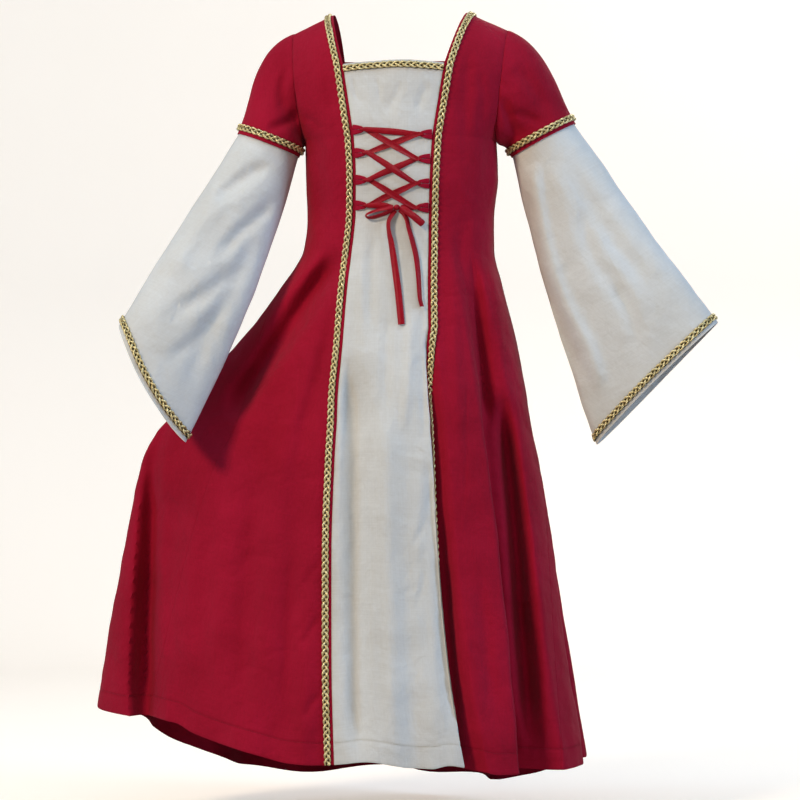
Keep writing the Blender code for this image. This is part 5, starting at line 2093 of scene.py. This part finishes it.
    def knot(self) -> None:
        """The bow's knot: a pinched wrap of ribbon."""
        rows, columns = 24, 36
        polar = np.linspace(0, math.pi, rows)[:, None]
        turn = np.arange(columns)[None] / columns * 2 * math.pi
        x, y, z = np.sin(polar) * np.cos(turn), np.sin(polar) * np.sin(turn), np.cos(polar) + 0 * turn
        wrap = 1 + 0.07 * np.sin(x * 9 + z * 1.5) * np.sin(polar)
        waist = 1 - 0.18 * x**2
        grid = np.stack([x * KNOT_SIZE[0], y * KNOT_SIZE[1] * wrap, z * KNOT_SIZE[2] * wrap * waist], -1)
        points = (grid + on_front(*KNOT)).reshape(-1, 3)
        flat = np.stack([np.repeat(polar.ravel() / math.pi, columns), np.tile(turn.ravel(), rows)], -1)
        piece = new_mesh("ribbon_bow_knot", points, grid_faces(rows, columns), self.satin, flat)
        self.finish(piece, "red_satin", "bow_knot")

    def build(self) -> None:
        """Every piece, after which the two that repeat go."""
        self.red_front(-1, "left", 11, 21)
        self.red_front(1, "right", 12, 31)
        self.pale_front()
        self.back()
        self.sleeves()
        self.loops()
        self.lacing()
        for helper in (self.plait, self.stitch):
            bpy.data.objects.remove(helper)


class Studio:
    """Floor, backdrop, lights and camera."""

    FLOOR = -1.17
    FRONT_EDGE, SWEEP_START, SWEEP, WALL_TOP, HALF_WIDTH = -5.5, 2.2, 0.9, 4.0, 6
    DISTANCE, FRAME_WIDTH, CENTRE = 4.0, 1.16, (-0.00145, -0.5597)

    def stage(self) -> None:
        """A pale floor that sweeps up behind the dress, and is seen from its front only."""
        turn = np.linspace(0, math.pi / 2, 24)
        start = np.array((self.SWEEP_START, self.FLOOR))
        bend = [start + self.SWEEP * np.array((math.sin(a), 1 - math.cos(a))) for a in turn]
        wall = (self.SWEEP_START + self.SWEEP, self.WALL_TOP)
        profile = np.array([(self.FRONT_EDGE, self.FLOOR), (0.0, self.FLOOR), *bend, wall])
        wide = np.linspace(-self.HALF_WIDTH, self.HALF_WIDTH, 5)
        grid = np.stack(np.broadcast_arrays(wide, profile[:, :1], profile[:, 1:]), -1)
        faces = grid_faces(len(profile), len(wide), around=False)[:, ::-1]
        paper, t, shader = new_material("backdrop_paper")
        seen = t.add("ShaderNodeLightPath").outputs["Is Camera Ray"]
        noise = t.noise(t.add("ShaderNodeTexCoord").outputs["Object"], 3.0)
        pale = t.mix(noise, (0.92, 0.83, 0.73), (0.94, 0.85, 0.75))
        looks = {
            "Base Color": t.mix(seen, (0.42, 0.41, 0.40), pale),
            "Roughness": 0.95,
            "Emission Color": (1.0, 0.93, 0.84, 1),
            "Emission Strength": t.span(seen, 0, 1, 0.03, 0.28),
        }
        t.feed(shader, looks)
        behind = t.add("ShaderNodeNewGeometry").outputs["Backfacing"]
        clear = t.add("ShaderNodeBsdfTransparent").outputs[0]
        one_sided = t.add("ShaderNodeMixShader", inputs={0: behind, 1: shader.outputs[0], 2: clear})
        t.feed(paper.node_tree.nodes["Material Output"], {"Surface": one_sided.outputs[0]})
        new_mesh("backdrop", grid.reshape(-1, 3), faces, paper)

    def light(self, name: str, place: tuple, aim: tuple, size: tuple, power: float, colour: tuple) -> None:
        """A soft rectangular light that the camera doesn't see.

        Args:
            name: its name.
            place: where it is.
            aim: where it points.
            size: its width and height.
            power: its power in watts.
            colour: its colour.
        """
        data = bpy.data.lights.new(name, "AREA")
        data.shape, data.size, data.size_y = "RECTANGLE", *size
        data.energy, data.color = power, colour
        lamp = show(name, data)
        lamp.location = place
        lamp.visible_camera = False
        way = np.array(aim, float) - np.array(place, float)
        lamp.rotation_euler = (math.acos(-way[2] / np.linalg.norm(way)), 0, math.atan2(-way[0], way[1]))

    def lights(self) -> None:
        """A warm light from the left of the camera, cool light from both sides."""
        self.light("front_warm", (-2.9, -3.0, 1.8), (0, 0, -0.5), (0.9, 0.9), 140, (1.0, 0.83, 0.62))
        self.light("front_fill", (0.6, -4.6, 0.2), (0, 0, -0.6), (0.9, 0.9), 18, (1.0, 0.84, 0.62))
        self.light("side_cool_left", (-3.9, -0.9, 0.8), (0, 0, -0.4), (1.4, 2.0), 56, (0.38, 0.66, 1.0))
        self.light("side_cool_right", (3.7, -1.7, 1.0), (0, 0, -0.4), (1.4, 2.0), 108, (0.50, 0.70, 1.0))
        self.light("top_soft", (0, -0.9, 2.4), (0, 0, -0.5), (2.0, 1.6), 46, (0.62, 0.82, 1.0))
        self.light("back_soft", (1.6, 2.7, 1.3), (0, 0, -0.6), (1.4, 1.4), 60, (1.0, 0.94, 0.88))
        world = bpy.data.worlds.new("studio")
        world.use_nodes = True
        t = Tree(world.node_tree)
        soft = world.node_tree.nodes["Background"]
        t.feed(soft, {0: (0.80, 0.90, 1.0, 1), 1: 0.08})
        seen = t.add("ShaderNodeLightPath").outputs["Is Camera Ray"]
        plain = t.add("ShaderNodeBackground", inputs={0: (0.965, 0.939, 0.888, 1), 1: 1.0}).outputs[0]
        both = t.add("ShaderNodeMixShader", inputs={0: seen, 1: soft.outputs[0], 2: plain})
        t.feed(world.node_tree.nodes["World Output"], {0: both.outputs[0]})
        bpy.context.scene.world = world

    def camera(self) -> None:
        """The photograph's view: level, from the front, at the height of the hips."""
        data = bpy.data.cameras.new("camera")
        data.sensor_width, data.lens = 36, 36 * self.DISTANCE / self.FRAME_WIDTH
        camera = show("camera", data)
        camera.location = (self.CENTRE[0], -self.DISTANCE, self.CENTRE[1])
        camera.rotation_euler = (math.pi / 2, 0, 0)
        bpy.context.scene.camera = camera
        bpy.context.scene.view_settings.view_transform = "Standard"


def main() -> None:
    """Builds the dressed part in its studio."""
    logging.basicConfig(level=logging.INFO, format="%(message)s")
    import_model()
    studio = Studio()
    studio.camera()
    Dress().build()
    studio.stage()
    studio.lights()


if __name__ == "__main__":
    main()
